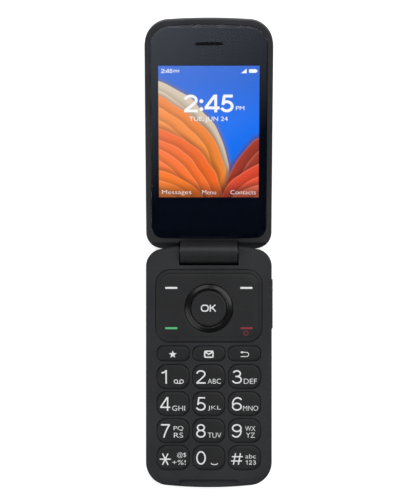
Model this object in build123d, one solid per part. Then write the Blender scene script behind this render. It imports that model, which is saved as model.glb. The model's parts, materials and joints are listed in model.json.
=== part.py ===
"""Flip phone, open on its back: base with keypad, hinge, and lid with screen.

Millimetres. +X is to the right of someone reading the keypad, +Y runs from the keypad end to the
lid's free end, +Z leaves the keypad. The origin is the centre of the base's back face.
Lid pieces are drawn in a flat lid frame: its origin is on the hinge axis, +Y runs along the lid,
and the lid's inner face looks along +Z. LID_POSE carries them to the open pose.
"""

from build123d import *
import os
from math import cos, pi, sin, sqrt

# ---------------------------------------------------------------- base
BASE_WIDTH = 54.7
BASE_LENGTH = 105.8  # keypad end to the crown of the hinge shoulders
BASE_THICKNESS = 10.4
BASE_CORNER_R = 10.0
BASE_CROWN_R = 155.0  # bow of the keypad end, seen from above
SHOULDER_CORNER_R = 7.5
SHOULDER_CROWN_R = 110.0
BASE_FRONT_ROUND = 1.2
BASE_BACK_ROUND = 2.4
SPLIT_HEIGHT = 5.2  # parting line between front and rear housing
WALL = 1.4
FACE_PLATE = 0.9  # keypad frame
BACK_WALL = 1.2

LEAST_CORNER_R = 0.3
PAST = 1.0  # how far a cutting solid runs past what it cuts
JOIN = 0.1  # how far joined solids run into each other

TOE_LENGTH = 5.0  # stretch of the keypad end that curves down
TOE_R = 6.0
TOE_WALL = 4.9
RECESS_WIDTH = 25.8  # finger recess in the keypad end
RECESS_REACH = 3.6
RECESS_DEPTH = 1.9
RECESS_ROUND = 1.4

# ---------------------------------------------------------------- hinge
SHOULDER_TIP = 3.4  # shoulder crown past the hinge axis
AXIS_DEPTH = 2.8  # hinge axis below the keypad face
OPEN_ANGLE = 162.5
CLOSED_GAP = 0.5
KNUCKLE_R = 4.1
KNUCKLE_BACK = 0.6  # base's back edge past the axis
SCOOP_R = 4.74  # hollow of the lid around the knuckles
SHOULDER_WIDTH = 14.45
NOTCH_REACH = 5.7
NOTCH_FLOOR = 0.7  # end of the floor under the barrel, short of the hinge axis
BARREL_R = 5.1
BARREL_SIDE_GAP = 0.5
COLLAR_WIDTH = 2.2
COLLAR_GROOVE = 0.2

CAN_R = 3.6
BARREL_WEB = 1.4  # between the cartridge and the pivot tube's bore
CAN_WALL = 0.5
CAM_SHAFT_R = 1.5
CAM_SHAFT_REACH = 6.0  # into the right shoulder
THRUST_R = 2.2  # collars in the gaps beside the barrel
THRUST_GAP = 0.1  # collar to the barrel and to the shoulder
CAM_DISC = 2.4
FOLLOWER_LENGTH = 3.0
SPRING_WIRE = 0.6
SPRING_PITCH = 1.4
PIVOT_R = 1.6
PIVOT_BORE_R = 1.1
PIVOT_REACH = 4.5  # into the left shoulder
PIVOT_IN_BARREL = 6.0
PIVOT_END_ROOM = 0.2
CAN_INSET = 0.2
SHAFT_OVERLAP = 0.5  # shaft into its disc
SPRING_CLEAR = 0.15  # spring to the can's wall
SPRING_END_GAP = 0.05
FLEX_CLEAR = 0.2
FLEX_OUT = 1.8  # flex past the tube, in the base
FLEX_IN = 0.5  # flex short of the tube's end, in the barrel
NECK_INSET = 0.5  # barrel's neck inside the hollow of the lid
NECK_TOP = 0.25  # neck below the lid's inner face
NECK_BOTTOM = (0.6, 0.3)  # neck past the parting line, at the lid and at the barrel
NECK_GAP = 0.1
COLLAR_GROOVE_WIDTH = 0.35
COLLAR_REACH = 0.72  # share of the barrel's radius at which the grooves end
RUN_CLEAR = 0.08  # running clearance, on the radius
FIT_CLEAR = 0.02  # clearance of what is pressed in or glued

# ---------------------------------------------------------------- keypad
KEYPAD_MARGIN = 4.925  # side of the base to the first column
COLUMN_GAP = 1.575
COLUMNS = 3
ROWS = 4
ROW_GAP = 1.22
KEYPAD_END_MARGIN = 7.89  # keypad end to the last row
FUNCTION_KEY_HEIGHT = 6.5
NUMBER_SIDE_FLAT = 2.7  # stretch of a number key's side between its corners
FUNCTION_CORNER_R = 2.4
KEY_BULGE = 0.25  # bow of each side of a key
KEY_CLEAR = 0.15
WELL_ROUND = 0.4  # rounding of the frame at the keys
KEY_PROUD = 0.25
KEY_FLANGE = 0.35
FLANGE_THICKNESS = 0.5
FLANGE_GAP = 0.05  # flange to the frame's underside
KEY_TRAVEL = 0.3
KEY_EDGE = 0.5

PANEL_TOP = 7.5  # navigation panel, below the hinge axis
PANEL_MARGIN = 4.15  # side of the base to the panel
PANEL_HEIGHT = 31.7
PANEL_CORNER_R = 6.5
PANEL_SLIT = 0.08
PANEL_EDGE = 0.5
RING_DROP = 16.9  # ring centre below the panel's top edge
RING_R = 10.45
RING_BORE_R = 7.9
RING_PROUD = 0.15
RING_THICKNESS = 1.0
RING_ROUND = 0.8
RING_TILT_ROOM = 0.35
RING_PAD = 1.6
RING_PAD_GAP = 0.05
RING_SEAT_INSET = 0.2
CORNER_NUB = (6.9, 7.5)  # nubs of the corner keys, from the panel's corners
OK_KEY_R = 7.75
PANEL_TO_FUNCTION = 4.8  # panel's lower edge to the function keys' centre line
FUNCTION_TO_NUMBER = 4.85  # function keys' centre line to the first number row

# ---------------------------------------------------------------- layers under the keys
MAT_SPARE = 0.1  # room left under a pressed key
MAT_THICKNESS = 0.6
NUB_HEIGHT = 0.5
NUB_R = 1.3
DOME_GAP = 0.05
DOME_SHEET = 0.1
DOME_R = 2.0
DOME_RISE = 0.15
BOARD_THICKNESS = 1.0
BOARD_MARGIN = 4.5  # side of the base to the board
BOARD_INSET = 2.6
BOARD_PAST_USB = 1.5
LAYER_CLEAR = 0.2

# ---------------------------------------------------------------- power and sockets
COVER_PAST_BATTERY = 2.5
COVER_RIM = 3.0
COVER_WALL = 1.1
COVER_SEAM = 0.1
COVER_CLIP_DROPS = (8.0, 33.0, 53.0)  # places of the clips below the cover's upper edge
CLIP_THICKNESS = 0.7
CLIP_LENGTH = 6.0
CLIP_RISE = 1.0
BATTERY_MARGIN = 5.3  # side of the base to the battery
BATTERY_END_MARGIN = 25.4  # ends of the base to the battery
BATTERY_THICKNESS = 4.1
BATTERY_CLEAR = 0.3
BAY_WALL = 0.8
CONTACT_PITCH = 3.0
BAY_WEB = 0.5
DECK_LOWER = 0.8
DECK_PAST_BAY = 0.5
DECK_IN_WALL = 0.4
BATTERY_GAP = 0.1  # battery to the web above it
BATTERY_ROUND = 0.8
CONTACT_BLOCK_HALF = 4.8
CONTACT_BLOCK_Z = (2.0, 5.0)
CONTACT_FINGER_HALF = 0.5
CONTACT_FINGER_Z = (2.6, 4.4)
CONTACT_GAP = 0.05  # fingers to the battery

READER_DROP = 10.5  # card reader and motor below the battery
READER_SIZE = (14.0, 14.0, 1.5)
READER_INSET = 16.8  # side of the base to the reader's centre
READER_ROOM = 1.0
READER_LIP = 1.0
READER_SLOT_DROP = 0.05
MOTOR_R = 4.0
MOTOR_THICKNESS = 2.7
MOTOR_INSET = 15.3
MOTOR_ROUND = 0.3
MICROPHONE_SIZE = (3.8, 3.0, 1.1)
MICROPHONE_GAP = 0.3  # capsule to the end wall
MICROPHONE_CLEAR = (0.2, 0.1)  # pocket beside and above the capsule
MICROPHONE_HOLE_R = 0.4
MICROPHONE_HOLE_DROP = 0.2
SPEAKER_SIZE = (16.0, 10.0, 3.0)
SPEAKER_CORNER_R = 2.0
SPEAKER_SLOT = (0.8, 6.0, 0.39)  # width, length and corner radius
SPEAKER_SLOTS = 5
SPEAKER_SLOT_PITCH = 2.0
SPEAKER_INSET = 15.3
SPEAKER_DROP = 13.3  # loudspeaker's centre below the hinge axis
SHIELD_SIZE = (35.0, 8.8, 1.5)
SHIELD_X = 3.5
SHIELD_CORNER_R = 0.8
SHIELD_ROUND = 0.4
SHIELD_GAP = 0.3  # shield to the board's end
SHEET_METAL = 0.2

JACK_BORE_R = 1.8
JACK_MOUTH_R = 2.1
JACK_LENGTH = 12.0
JACK_SIZE = 5.0
JACK_DROP = 6.0  # jack centre line below the hinge axis, along Y
JACK_HEIGHT = 5.1
USB_WIDTH = 9.0
USB_SHELL = 3.3
USB_DEPTH = 7.4
USB_WALL = 0.3
USB_CORNER_R = 1.6
USB_BACK = 1.0
USB_TONGUE = (5.0, 6.6, 0.7)
USB_DROP = 15.1
USB_HEIGHT = 5.4
SOCKET_INSET = 0.3

# ---------------------------------------------------------------- side key
SIDE_KEY_LENGTH = 21.6
SIDE_KEY_HEIGHT = 2.8
SIDE_KEY_DROP = 22.5  # its centre below the hinge axis
SIDE_KEY_PROUD = 0.45
SIDE_KEY_LEVEL = 7.0
SIDE_KEY_CLEAR = 0.15
SIDE_FLANGE = 0.6
SIDE_FLANGE_GAP = 0.4
SIDE_FLANGE_OVER = (0.6, 0.4)  # flange past the key, along it and across it
SIDE_KEY_ROUND = 1.2
SIDE_KEY_EDGE = 0.25
SWITCH_GAP = 0.6
SWITCH_STRIP = 0.3
SWITCH_STRIP_INSET = 1.5
SWITCH_STRIP_HALF = 1.2
SWITCH_BUTTON_R = 0.9
SWITCH_BUTTON_RISE = 0.25
SWITCH_BUTTON_INSET = 2.0
SWITCH_TAB = (3.0, 0.6)  # tab on the board's edge: half its length, and its thickness

# ---------------------------------------------------------------- lid
LID_REACH = 101.7  # hinge axis to the free end
LID_HEEL = 0.2  # past the axis the other way
LID_THICKNESS = 8.0
LID_CORNER_R = 10.5
LID_CROWN_R = 265.0
HEEL_CORNER_R = 7.6
HEEL_CROWN_R = 600.0
LID_SPLIT = 3.2  # inner housing's depth
LID_RIM_ROUND = 1.0
LID_BACK_ROUND = 2.2
HEEL_THICKNESS = 3.7
HEEL_R = 60.0  # curve of the lid's back towards the hinge
LID_WALL = 1.3
INNER_PLATE = 1.7
ROOM_START = 0.6  # start of the room in the lid, as a share of the curve's length

LENS_MARGIN = 2.4  # side of the lid to the lens
LENS_BOTTOM = 5.05
LENS_TOP_MARGIN = 1.7
LENS_CROWN_R = 170.0
LENS_TOP_CORNER_R = 8.6
LENS_BOTTOM_CORNER_R = 5.0
LENS_THICKNESS = 0.8
LENS_SINK = 0.15
LENS_CLEAR = 0.12
EAR_SLOT_WIDTH = 11.8
EAR_SLOT_HEIGHT = 1.3
EAR_DROP = 10.2  # slot below the lid's free end
EAR_MESH_CLEAR = 0.1
EAR_MESH_THICKNESS = 0.4
EARPIECE_SIZE = (12.6, 3.8, 2.0)
EARPIECE_CORNER_R = 1.2
EARPIECE_CLEAR = 0.2
LENS_EDGE = 0.2

SCREEN_MARGIN = 3.35  # side of the lens to the picture
SCREEN_FOOT = 23.75  # picture's lower edge past the hinge axis
SCREEN_DROP = 19.75  # picture's upper edge below the lid's free end
MODULE_SIDE = 2.3
MODULE_CHIN = 6.3
MODULE_THICKNESS = 1.5
SCREEN_FRAME = 0.35
LAYER_GAP = 0.1
MODULE_CLEAR = 0.2
FRAME_OVER = 0.15  # mid plate past the module
LID_BOARD_MARGIN = 8.2  # side of the lid to its board
LID_BOARD_LOW = 2.0  # lid board past the picture's lower edge
LID_BOARD_HIGH = 3.0  # lid board short of the earpiece
LID_BOARD_THICKNESS = 0.8

OUTER_LENS_WIDTH = 35.0
OUTER_LENS_HEIGHT = 52.0
OUTER_LENS_DROP = 35.7  # its centre below the lid's free end
OUTER_LENS_R = 6.0
OUTER_LENS_THICKNESS = 0.7
OUTER_LENS_LEDGE = 1.0
OUTER_SCREEN = 27.0
OUTER_SCREEN_DROP = 44.2
OUTER_SCREEN_THICKNESS = 1.1
OUTER_SCREEN_RIM = (2.0, 4.0)  # module past its picture, across and along
OUTER_SCREEN_CORNER_R = 1.0
CAMERA_SIDE = 8.0
CAMERA_DEPTH = 2.2
CAMERA_DROP = 19.7
CAMERA_RING_R = 3.2
CAMERA_RING_WIDTH = 1.0
CAMERA_SINK = 0.1
CAMERA_DISH = 0.4
FLASH_SIDE = 3.6
FLASH_CORNER_R = 0.6
FLASH_THICKNESS = 1.0
FLASH_OFFSET = 9.0
MAGNET_X = (16.0, 22.0)
MAGNET_DROP = (10.0, 7.0)  # magnet's edges below the lid's free end
MAGNET_THICKNESS = 1.3
MAGNET_GAP = 0.1

SCREW_SHANK_R = 0.7
SCREW_HEAD_R = 1.2
SCREW_HEAD = 0.6
SCREW_ROOM = 0.1
SCREW_SKIN = 0.2  # left over the end of a screw's hole
BASE_SCREW_LENGTH = 4.2
BASE_SCREW_ROWS = (-33.0, 12.0)
BASE_BOSS_R = 1.35
BASE_BOSS_INSET = 2.85
LID_SCREW_LENGTH = 3.6
LID_BOSS_R = 1.6
LID_BOSS_FLOOR = 0.6
LID_SCREW_INSET = (3.2, 6.2, 12.5)  # from the lens's sides, lower edge and upper edge

# ---------------------------------------------------------------- worked out from the above
AXIS_Y = BASE_LENGTH / 2 - SHOULDER_TIP
AXIS_Z = BASE_THICKNESS - AXIS_DEPTH
FACE_OFFSET = AXIS_DEPTH + CLOSED_GAP  # hinge axis to the lid's inner face
TILT = 180.0 - OPEN_ANGLE
LID_POSE = Location((0, AXIS_Y, AXIS_Z), (TILT, 0, 0))
BASE_END = -BASE_LENGTH / 2
NOTCH_Y = AXIS_Y - NOTCH_REACH
NOTCH_WIDTH = BASE_WIDTH - 2 * SHOULDER_WIDTH
BARREL_HALF = NOTCH_WIDTH / 2 - BARREL_SIDE_GAP
CAN_LENGTH = 2 * BARREL_HALF - CAN_INSET - PIVOT_IN_BARREL - PIVOT_END_ROOM - BARREL_WEB
LID_WIDTH = BASE_WIDTH
LID_BOARD_HALF = LID_WIDTH / 2 - LID_BOARD_MARGIN
LENS_WIDTH = LID_WIDTH - 2 * LENS_MARGIN
SCREEN_WIDTH = LENS_WIDTH - 2 * SCREEN_MARGIN
PANEL_WIDTH = BASE_WIDTH - 2 * PANEL_MARGIN
BOARD_WIDTH = BASE_WIDTH - 2 * BOARD_MARGIN
BATTERY_WIDTH = BASE_WIDTH - 2 * BATTERY_MARGIN
BATTERY_LENGTH = BASE_LENGTH - 2 * BATTERY_END_MARGIN
COVER_END = BATTERY_LENGTH / 2 + COVER_PAST_BATTERY
READER_X = BASE_WIDTH / 2 - READER_INSET
MOTOR_X = MOTOR_INSET - BASE_WIDTH / 2
SPEAKER_X = BASE_WIDTH / 2 - SPEAKER_INSET
KEY_WIDTH = (BASE_WIDTH - 2 * KEYPAD_MARGIN - (COLUMNS - 1) * COLUMN_GAP) / COLUMNS
KEY_PITCH_X = KEY_WIDTH + COLUMN_GAP

PLATE_UNDER = BASE_THICKNESS - FACE_PLATE
KEY_BOTTOM = PLATE_UNDER - FLANGE_GAP - FLANGE_THICKNESS
MAT_TOP = KEY_BOTTOM - KEY_TRAVEL - MAT_SPARE
MAT_BOTTOM = MAT_TOP - MAT_THICKNESS
DOME_TOP = MAT_BOTTOM - NUB_HEIGHT - DOME_GAP
BOARD_TOP = DOME_TOP - DOME_RISE - DOME_SHEET
BOARD_BOTTOM = BOARD_TOP - BOARD_THICKNESS
CAVITY_END = NOTCH_Y - BACK_WALL

PANEL_Y = AXIS_Y - PANEL_TOP - PANEL_HEIGHT / 2
RING_Y = AXIS_Y - PANEL_TOP - RING_DROP
FUNCTION_Y = AXIS_Y - PANEL_TOP - PANEL_HEIGHT - PANEL_TO_FUNCTION
NUMBER_TOP = FUNCTION_Y - FUNCTION_TO_NUMBER
NUMBER_ROOM = NUMBER_TOP - BASE_END - KEYPAD_END_MARGIN
NUMBER_KEY_HEIGHT = (NUMBER_ROOM - (ROWS - 1) * ROW_GAP) / ROWS
NUMBER_PITCH = NUMBER_KEY_HEIGHT + ROW_GAP
NUMBER_CORNER_R = (NUMBER_KEY_HEIGHT - NUMBER_SIDE_FLAT) / 2
JACK_Y = AXIS_Y - JACK_DROP
USB_Y = AXIS_Y - USB_DROP
SIDE_KEY_Y = AXIS_Y - SIDE_KEY_DROP
SPEAKER_Y = AXIS_Y - SPEAKER_DROP
MICROPHONE_Y = BASE_END + TOE_WALL + MICROPHONE_GAP
BOARD_END = USB_Y + USB_WIDTH / 2 + BOARD_PAST_USB
POCKET_Y = -BATTERY_LENGTH / 2 - READER_DROP
WALL_INNER_X = BASE_WIDTH / 2 - WALL
DISC_X = BARREL_HALF - CAN_INSET - CAN_WALL - RUN_CLEAR - CAM_DISC
FOLLOWER_X = DISC_X - RUN_CLEAR - FOLLOWER_LENGTH
PIVOT_X = (-NOTCH_WIDTH / 2 - PIVOT_REACH, PIVOT_IN_BARREL - BARREL_HALF)

INNER_Z = -FACE_OFFSET
LID_SPLIT_Z = INNER_Z - LID_SPLIT
OUTER_Z = INNER_Z - LID_THICKNESS
LENS_BACK_Z = INNER_Z - LENS_SINK - LENS_THICKNESS
MODULE_FRONT_Z = LENS_BACK_Z - LAYER_GAP
MODULE_BACK_Z = MODULE_FRONT_Z - MODULE_THICKNESS
FRAME_BACK_Z = MODULE_BACK_Z - SCREEN_FRAME
EAR_Y = LID_REACH - EAR_DROP
UNDER_OUTER_LENS = OUTER_Z + OUTER_LENS_THICKNESS + LAYER_GAP
LENS_TOP = LID_REACH - LENS_TOP_MARGIN
SCREEN_HEIGHT = LID_REACH - SCREEN_DROP - SCREEN_FOOT
SCREEN_CENTRE = SCREEN_FOOT + SCREEN_HEIGHT / 2
OUTER_LENS_CENTRE = LID_REACH - OUTER_LENS_DROP
OUTER_SCREEN_CENTRE = LID_REACH - OUTER_SCREEN_DROP
CAMERA_CENTRE = LID_REACH - CAMERA_DROP

COLUMN_X = [(column - (COLUMNS - 1) / 2) * KEY_PITCH_X for column in range(COLUMNS)]
NUMBER_ROW_Y = [NUMBER_TOP - NUMBER_KEY_HEIGHT / 2 - row * NUMBER_PITCH for row in range(ROWS)]
NUMBER_KEYS = ["1", "2", "3", "4", "5", "6", "7", "8", "9", "star", "0", "hash"]
FUNCTION_KEYS = ["favourites", "message", "back"]


# ---------------------------------------------------------------- helpers
def span_box(x, y, z):
    """Box between the two values given for each axis."""
    size = [pair[1] - pair[0] for pair in (x, y, z)]
    middle = [(pair[1] + pair[0]) / 2 for pair in (x, y, z)]
    return Pos(*middle) * Box(*size)


def rod_x(radius, x_from, x_to, y=0.0, z=0.0):
    """Cylinder along X."""
    return Pos((x_from + x_to) / 2, y, z) * (Rot(0, 90, 0) * Cylinder(radius, abs(x_to - x_from)))


def plan_face(width, low, high, low_crown, high_crown, low_corner, high_corner, inset=0.0):
    """Plan outline with straight sides, bowed ends and rounded corners, all moved in by inset."""
    half = width / 2 - inset
    low_y, high_y = low + inset, high - inset
    low_side = low_y + half**2 / (2 * low_crown)
    high_side = high_y - half**2 / (2 * high_crown)
    edges = Curve() + [
        ThreePointArc((-half, low_side), (0, low_y), (half, low_side)),
        Line((half, low_side), (half, high_side)),
        ThreePointArc((half, high_side), (0, high_y), (-half, high_side)),
        Line((-half, high_side), (-half, low_side)),
    ]
    face = make_face(edges)
    face = fillet(face.vertices().sort_by(Axis.Y)[:2], max(low_corner - inset, LEAST_CORNER_R))
    return fillet(face.vertices().sort_by(Axis.Y)[-2:], max(high_corner - inset, LEAST_CORNER_R))


def base_plan(inset=0.0):
    """Outline of the base, seen from above."""
    return plan_face(
        BASE_WIDTH, BASE_END, -BASE_END, BASE_CROWN_R, SHOULDER_CROWN_R,
        BASE_CORNER_R, SHOULDER_CORNER_R, inset,
    )


def lid_plan(inset=0.0):
    """Outline of the lid in the flat lid frame."""
    return plan_face(
        LID_WIDTH, -LID_HEEL, LID_REACH, HEEL_CROWN_R, LID_CROWN_R,
        HEEL_CORNER_R, LID_CORNER_R, inset,
    )


def slab(face, z_from, z_to):
    """The face pulled up between two heights."""
    return Pos(0, 0, z_from) * extrude(face, z_to - z_from, dir=(0, 0, 1))


def key_face(width, height, corner, grow=0.0):
    """Key outline whose four sides bow out a little."""
    half_x, half_y = width / 2 + grow, height / 2 + grow
    in_x, in_y = half_x - KEY_BULGE, half_y - KEY_BULGE
    edges = Curve() + [
        ThreePointArc((-in_x, -in_y), (0, -half_y), (in_x, -in_y)),
        ThreePointArc((in_x, -in_y), (half_x, 0), (in_x, in_y)),
        ThreePointArc((in_x, in_y), (0, half_y), (-in_x, in_y)),
        ThreePointArc((-in_x, in_y), (-half_x, 0), (-in_x, -in_y)),
    ]
    face = make_face(edges)
    return fillet(face.vertices(), corner + grow)


def panel_face(grow=0.0):
    """Outline of the navigation panel."""
    return RectangleRounded(PANEL_WIDTH + 2 * grow, PANEL_HEIGHT + 2 * grow, PANEL_CORNER_R + grow)


def top_edges(part):
    """Edges of the highest flat face."""
    return part.faces().filter_by(Axis.Z).sort_by(Axis.Z)[-1].edges()


def bottom_edges(part):
    """Edges of the lowest flat face."""
    return part.faces().filter_by(Axis.Z).sort_by(Axis.Z)[0].edges()


def screw(length):
    """Small pan-head screw: its head's seat at the origin, its shank along +Z."""
    shank = Pos(0, 0, length / 2) * Cylinder(SCREW_SHANK_R, length)
    head = Pos(0, 0, -SCREW_HEAD / 2) * Cylinder(SCREW_HEAD_R, SCREW_HEAD)
    return shank + head


def save(name, part):
    """Write one node."""
    part.label = name
    export_step(part, f"parts/{name}.step")


def save_lid(name, part):
    """Write one node of the lid, carried from the flat lid frame to the open pose."""
    save(name, LID_POSE * part)


# ---------------------------------------------------------------- base housings
def base_cavity(z_from, z_to, end_wall):
    """Room inside the base, with the given wall at the keypad end."""
    room = slab(base_plan(WALL), z_from, z_to)
    keep = span_box((-BASE_WIDTH, BASE_WIDTH), (BASE_END + end_wall, CAVITY_END), (z_from, z_to))
    return room & keep


def knuckle_relief():
    """What comes off the base's back edge so that the lid's heel can pass behind it."""
    block = span_box(
        (-BASE_WIDTH, BASE_WIDTH), (AXIS_Y + KNUCKLE_BACK, AXIS_Y + 2 * BARREL_R), (-BARREL_R, AXIS_Z)
    )
    return block - rod_x(KNUCKLE_R, -BASE_WIDTH - PAST, BASE_WIDTH + PAST, AXIS_Y, AXIS_Z)


def hinge_notch():
    """Gap between the shoulders for the lid's barrel."""
    return span_box(
        (-NOTCH_WIDTH / 2, NOTCH_WIDTH / 2), (NOTCH_Y, PAST - BASE_END), (-PAST, BASE_THICKNESS + PAST)
    )


def notch_floor():
    """Floor between the shoulders, under the barrel."""
    half = NOTCH_WIDTH / 2 + JOIN
    return span_box((-half, half), (NOTCH_Y - JOIN, AXIS_Y - NOTCH_FLOOR), (0, BACK_WALL))


def hinge_bores():
    """Bores in the shoulders for the cam shaft, right, and the pivot tube with its flex, left."""
    half = NOTCH_WIDTH / 2
    right = rod_x(CAM_SHAFT_R + FIT_CLEAR, half - PAST, half + CAM_SHAFT_REACH, AXIS_Y, AXIS_Z)
    tube_end = -half - PIVOT_REACH
    left = rod_x(PIVOT_R + FIT_CLEAR, PAST - half, tube_end, AXIS_Y, AXIS_Z)
    flex = rod_x(PIVOT_BORE_R, PAST - half, tube_end - FLEX_OUT - FLEX_CLEAR, AXIS_Y, AXIS_Z)
    return right + left + flex


def jack_pocket():
    """Room for the headphone socket beside the notch."""
    grow = JACK_SIZE / 2 + FIT_CLEAR
    return span_box(
        (-BASE_WIDTH / 2 + SOCKET_INSET, -BASE_WIDTH / 2 + SOCKET_INSET + JACK_LENGTH + FIT_CLEAR),
        (JACK_Y - grow, JACK_Y + grow),
        (JACK_HEIGHT - grow, JACK_HEIGHT + grow),
    )


def socket_mouths():
    """Holes in the left wall for the headphone plug and the USB plug."""
    jack = rod_x(JACK_MOUTH_R, -BASE_WIDTH, PAST - WALL_INNER_X, JACK_Y, JACK_HEIGHT)
    usb_face = RectangleRounded(USB_WIDTH + 2 * FIT_CLEAR, USB_SHELL + 2 * FIT_CLEAR, USB_CORNER_R)
    usb = extrude(Plane.YZ.offset(PAST - WALL_INNER_X) * usb_face, -WALL - 2 * PAST)
    return jack + Pos(0, USB_Y, USB_HEIGHT) * usb


def side_key_window():
    """Hole in the right wall for the side key."""
    length = SIDE_KEY_LENGTH / 2 + SIDE_KEY_CLEAR
    height = SIDE_KEY_HEIGHT / 2 + SIDE_KEY_CLEAR
    return span_box(
        (WALL_INNER_X - PAST, BASE_WIDTH / 2 + PAST),
        (SIDE_KEY_Y - length, SIDE_KEY_Y + length),
        (SIDE_KEY_LEVEL - height, SIDE_KEY_LEVEL + height),
    )


def toe_cut():
    """What comes off the front of the keypad end, so that it curves down."""
    start = BASE_END + TOE_LENGTH
    drum = rod_x(TOE_R, -BASE_WIDTH, BASE_WIDTH, start, BASE_THICKNESS - TOE_R)
    block = span_box(
        (-BASE_WIDTH, BASE_WIDTH),
        (BASE_END - PAST, start),
        (BASE_THICKNESS - TOE_R, BASE_THICKNESS + PAST),
    )
    return block - drum


def finger_recess():
    """Step in the keypad end where a finger lifts the lid."""
    reach = RECESS_REACH + RECESS_ROUND + PAST
    face = RectangleRounded(RECESS_WIDTH, 2 * reach, RECESS_ROUND)
    floor = BASE_THICKNESS - RECESS_DEPTH
    return Pos(0, BASE_END + RECESS_REACH - reach, 0) * slab(face, floor, BASE_THICKNESS + PAST)


def screw_places():
    """Centres of the four screws that join the base housings."""
    x = BASE_WIDTH / 2 - BASE_BOSS_INSET
    return [(side * x, y) for side in (-1, 1) for y in BASE_SCREW_ROWS]


def base_front_housing():
    """Keypad frame, side walls and hinge shoulders."""
    shell = slab(base_plan(), SPLIT_HEIGHT, BASE_THICKNESS)
    shell = fillet(top_edges(shell), BASE_FRONT_ROUND)
    shell -= toe_cut()
    shell -= base_cavity(SPLIT_HEIGHT - PAST, PLATE_UNDER, TOE_WALL)
    for x, y in screw_places():
        shell += Pos(x, y, 0) * slab(Circle(BASE_BOSS_R), BOARD_BOTTOM, PLATE_UNDER)
        shell -= Pos(x, y, 0) * slab(Circle(SCREW_SHANK_R), BOARD_BOTTOM - PAST, PLATE_UNDER - SCREW_SKIN)
    through = (PLATE_UNDER - PAST, BASE_THICKNESS + PAST)
    shell -= Pos(0, PANEL_Y, 0) * slab(panel_face(), *through)
    for x in COLUMN_X:
        hole = slab(key_face(KEY_WIDTH, FUNCTION_KEY_HEIGHT, FUNCTION_CORNER_R, KEY_CLEAR), *through)
        shell -= Pos(x, FUNCTION_Y, 0) * hole
        for y in NUMBER_ROW_Y:
            hole = slab(key_face(KEY_WIDTH, NUMBER_KEY_HEIGHT, NUMBER_CORNER_R, KEY_CLEAR), *through)
            shell -= Pos(x, y, 0) * hole
    frame_face = shell.faces().filter_by(Axis.Z).sort_by(Axis.Z)[-1]
    shell = fillet(frame_face.inner_wires().edges(), WELL_ROUND)
    shell -= knuckle_relief() + hinge_notch()
    shell -= hinge_bores()
    shell -= jack_pocket() + socket_mouths()
    shell -= side_key_window()
    shell -= finger_recess()
    mouth = Rot(90, 0, 0) * Cylinder(MICROPHONE_HOLE_R, 2 * TOE_WALL + PAST)
    return shell - Pos(0, BASE_END, BOARD_BOTTOM - MICROPHONE_HOLE_DROP) * mouth


def battery_room(z_from, z_to, grow=0.0):
    """Space of the battery bay."""
    half_x = BATTERY_WIDTH / 2 + BATTERY_CLEAR + grow
    half_y = BATTERY_LENGTH / 2 + BATTERY_CLEAR + grow
    return span_box((-half_x, half_x), (-half_y, half_y), (z_from, z_to))


def base_rear_housing():
    """Back of the base above the cover, with the deck and the battery bay."""
    shell = slab(base_plan(), 0, SPLIT_HEIGHT)
    shell = fillet(bottom_edges(shell), BASE_BACK_ROUND)
    shell -= base_cavity(BACK_WALL, SPLIT_HEIGHT + PAST, WALL)
    shell -= span_box((-BASE_WIDTH, BASE_WIDTH), (BASE_END - PAST, COVER_END), (-PAST, COVER_RIM))
    deck_end = BATTERY_LENGTH / 2 + BATTERY_CLEAR + BAY_WALL + DECK_PAST_BAY
    limit = span_box((-BASE_WIDTH, BASE_WIDTH), (BASE_END, deck_end), (0, BASE_THICKNESS))
    deck = slab(base_plan(WALL - DECK_IN_WALL), SPLIT_HEIGHT - DECK_LOWER, SPLIT_HEIGHT)
    deck += slab(base_plan(TOE_WALL + COVER_SEAM), SPLIT_HEIGHT, BOARD_BOTTOM)
    shell += deck & limit
    bay_top = BOARD_BOTTOM - BAY_WEB
    shell += battery_room(BACK_WALL + COVER_SEAM, SPLIT_HEIGHT, BAY_WALL)
    shell -= battery_room(-PAST, bay_top)
    window = Rectangle(2 * READER_X + READER_SIZE[0] + 2 * READER_ROOM, READER_SIZE[1] + READER_ROOM)
    shell -= Pos(0, POCKET_Y, 0) * slab(window, -PAST, BOARD_BOTTOM + PAST)
    width, length, height = MICROPHONE_SIZE
    beside, above = MICROPHONE_CLEAR
    half = width / 2 + beside
    pocket = rectangle_between(-half, MICROPHONE_Y - above, half, POCKET_Y)
    shell -= slab(pocket, BOARD_BOTTOM - height - above, BOARD_BOTTOM + PAST)
    shell -= contact_block(FIT_CLEAR)
    for x, y in screw_places():
        shell -= Pos(x, y, 0) * slab(Circle(SCREW_SHANK_R + SCREW_ROOM), 0, BASE_THICKNESS)
        shell -= Pos(x, y, 0) * slab(Circle(SCREW_HEAD_R + SCREW_ROOM), 0, SPLIT_HEIGHT - DECK_LOWER)
    shell -= knuckle_relief() + hinge_notch()
    shell += notch_floor()
    shell -= jack_pocket() + socket_mouths()
    slot = slab(RectangleRounded(*SPEAKER_SLOT), -PAST, BACK_WALL + PAST)
    for index in range(SPEAKER_SLOTS):
        x = SPEAKER_X + SPEAKER_SLOT_PITCH * (index - (SPEAKER_SLOTS - 1) / 2)
        shell -= Pos(x, SPEAKER_Y, 0) * slot
    return shell


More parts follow.
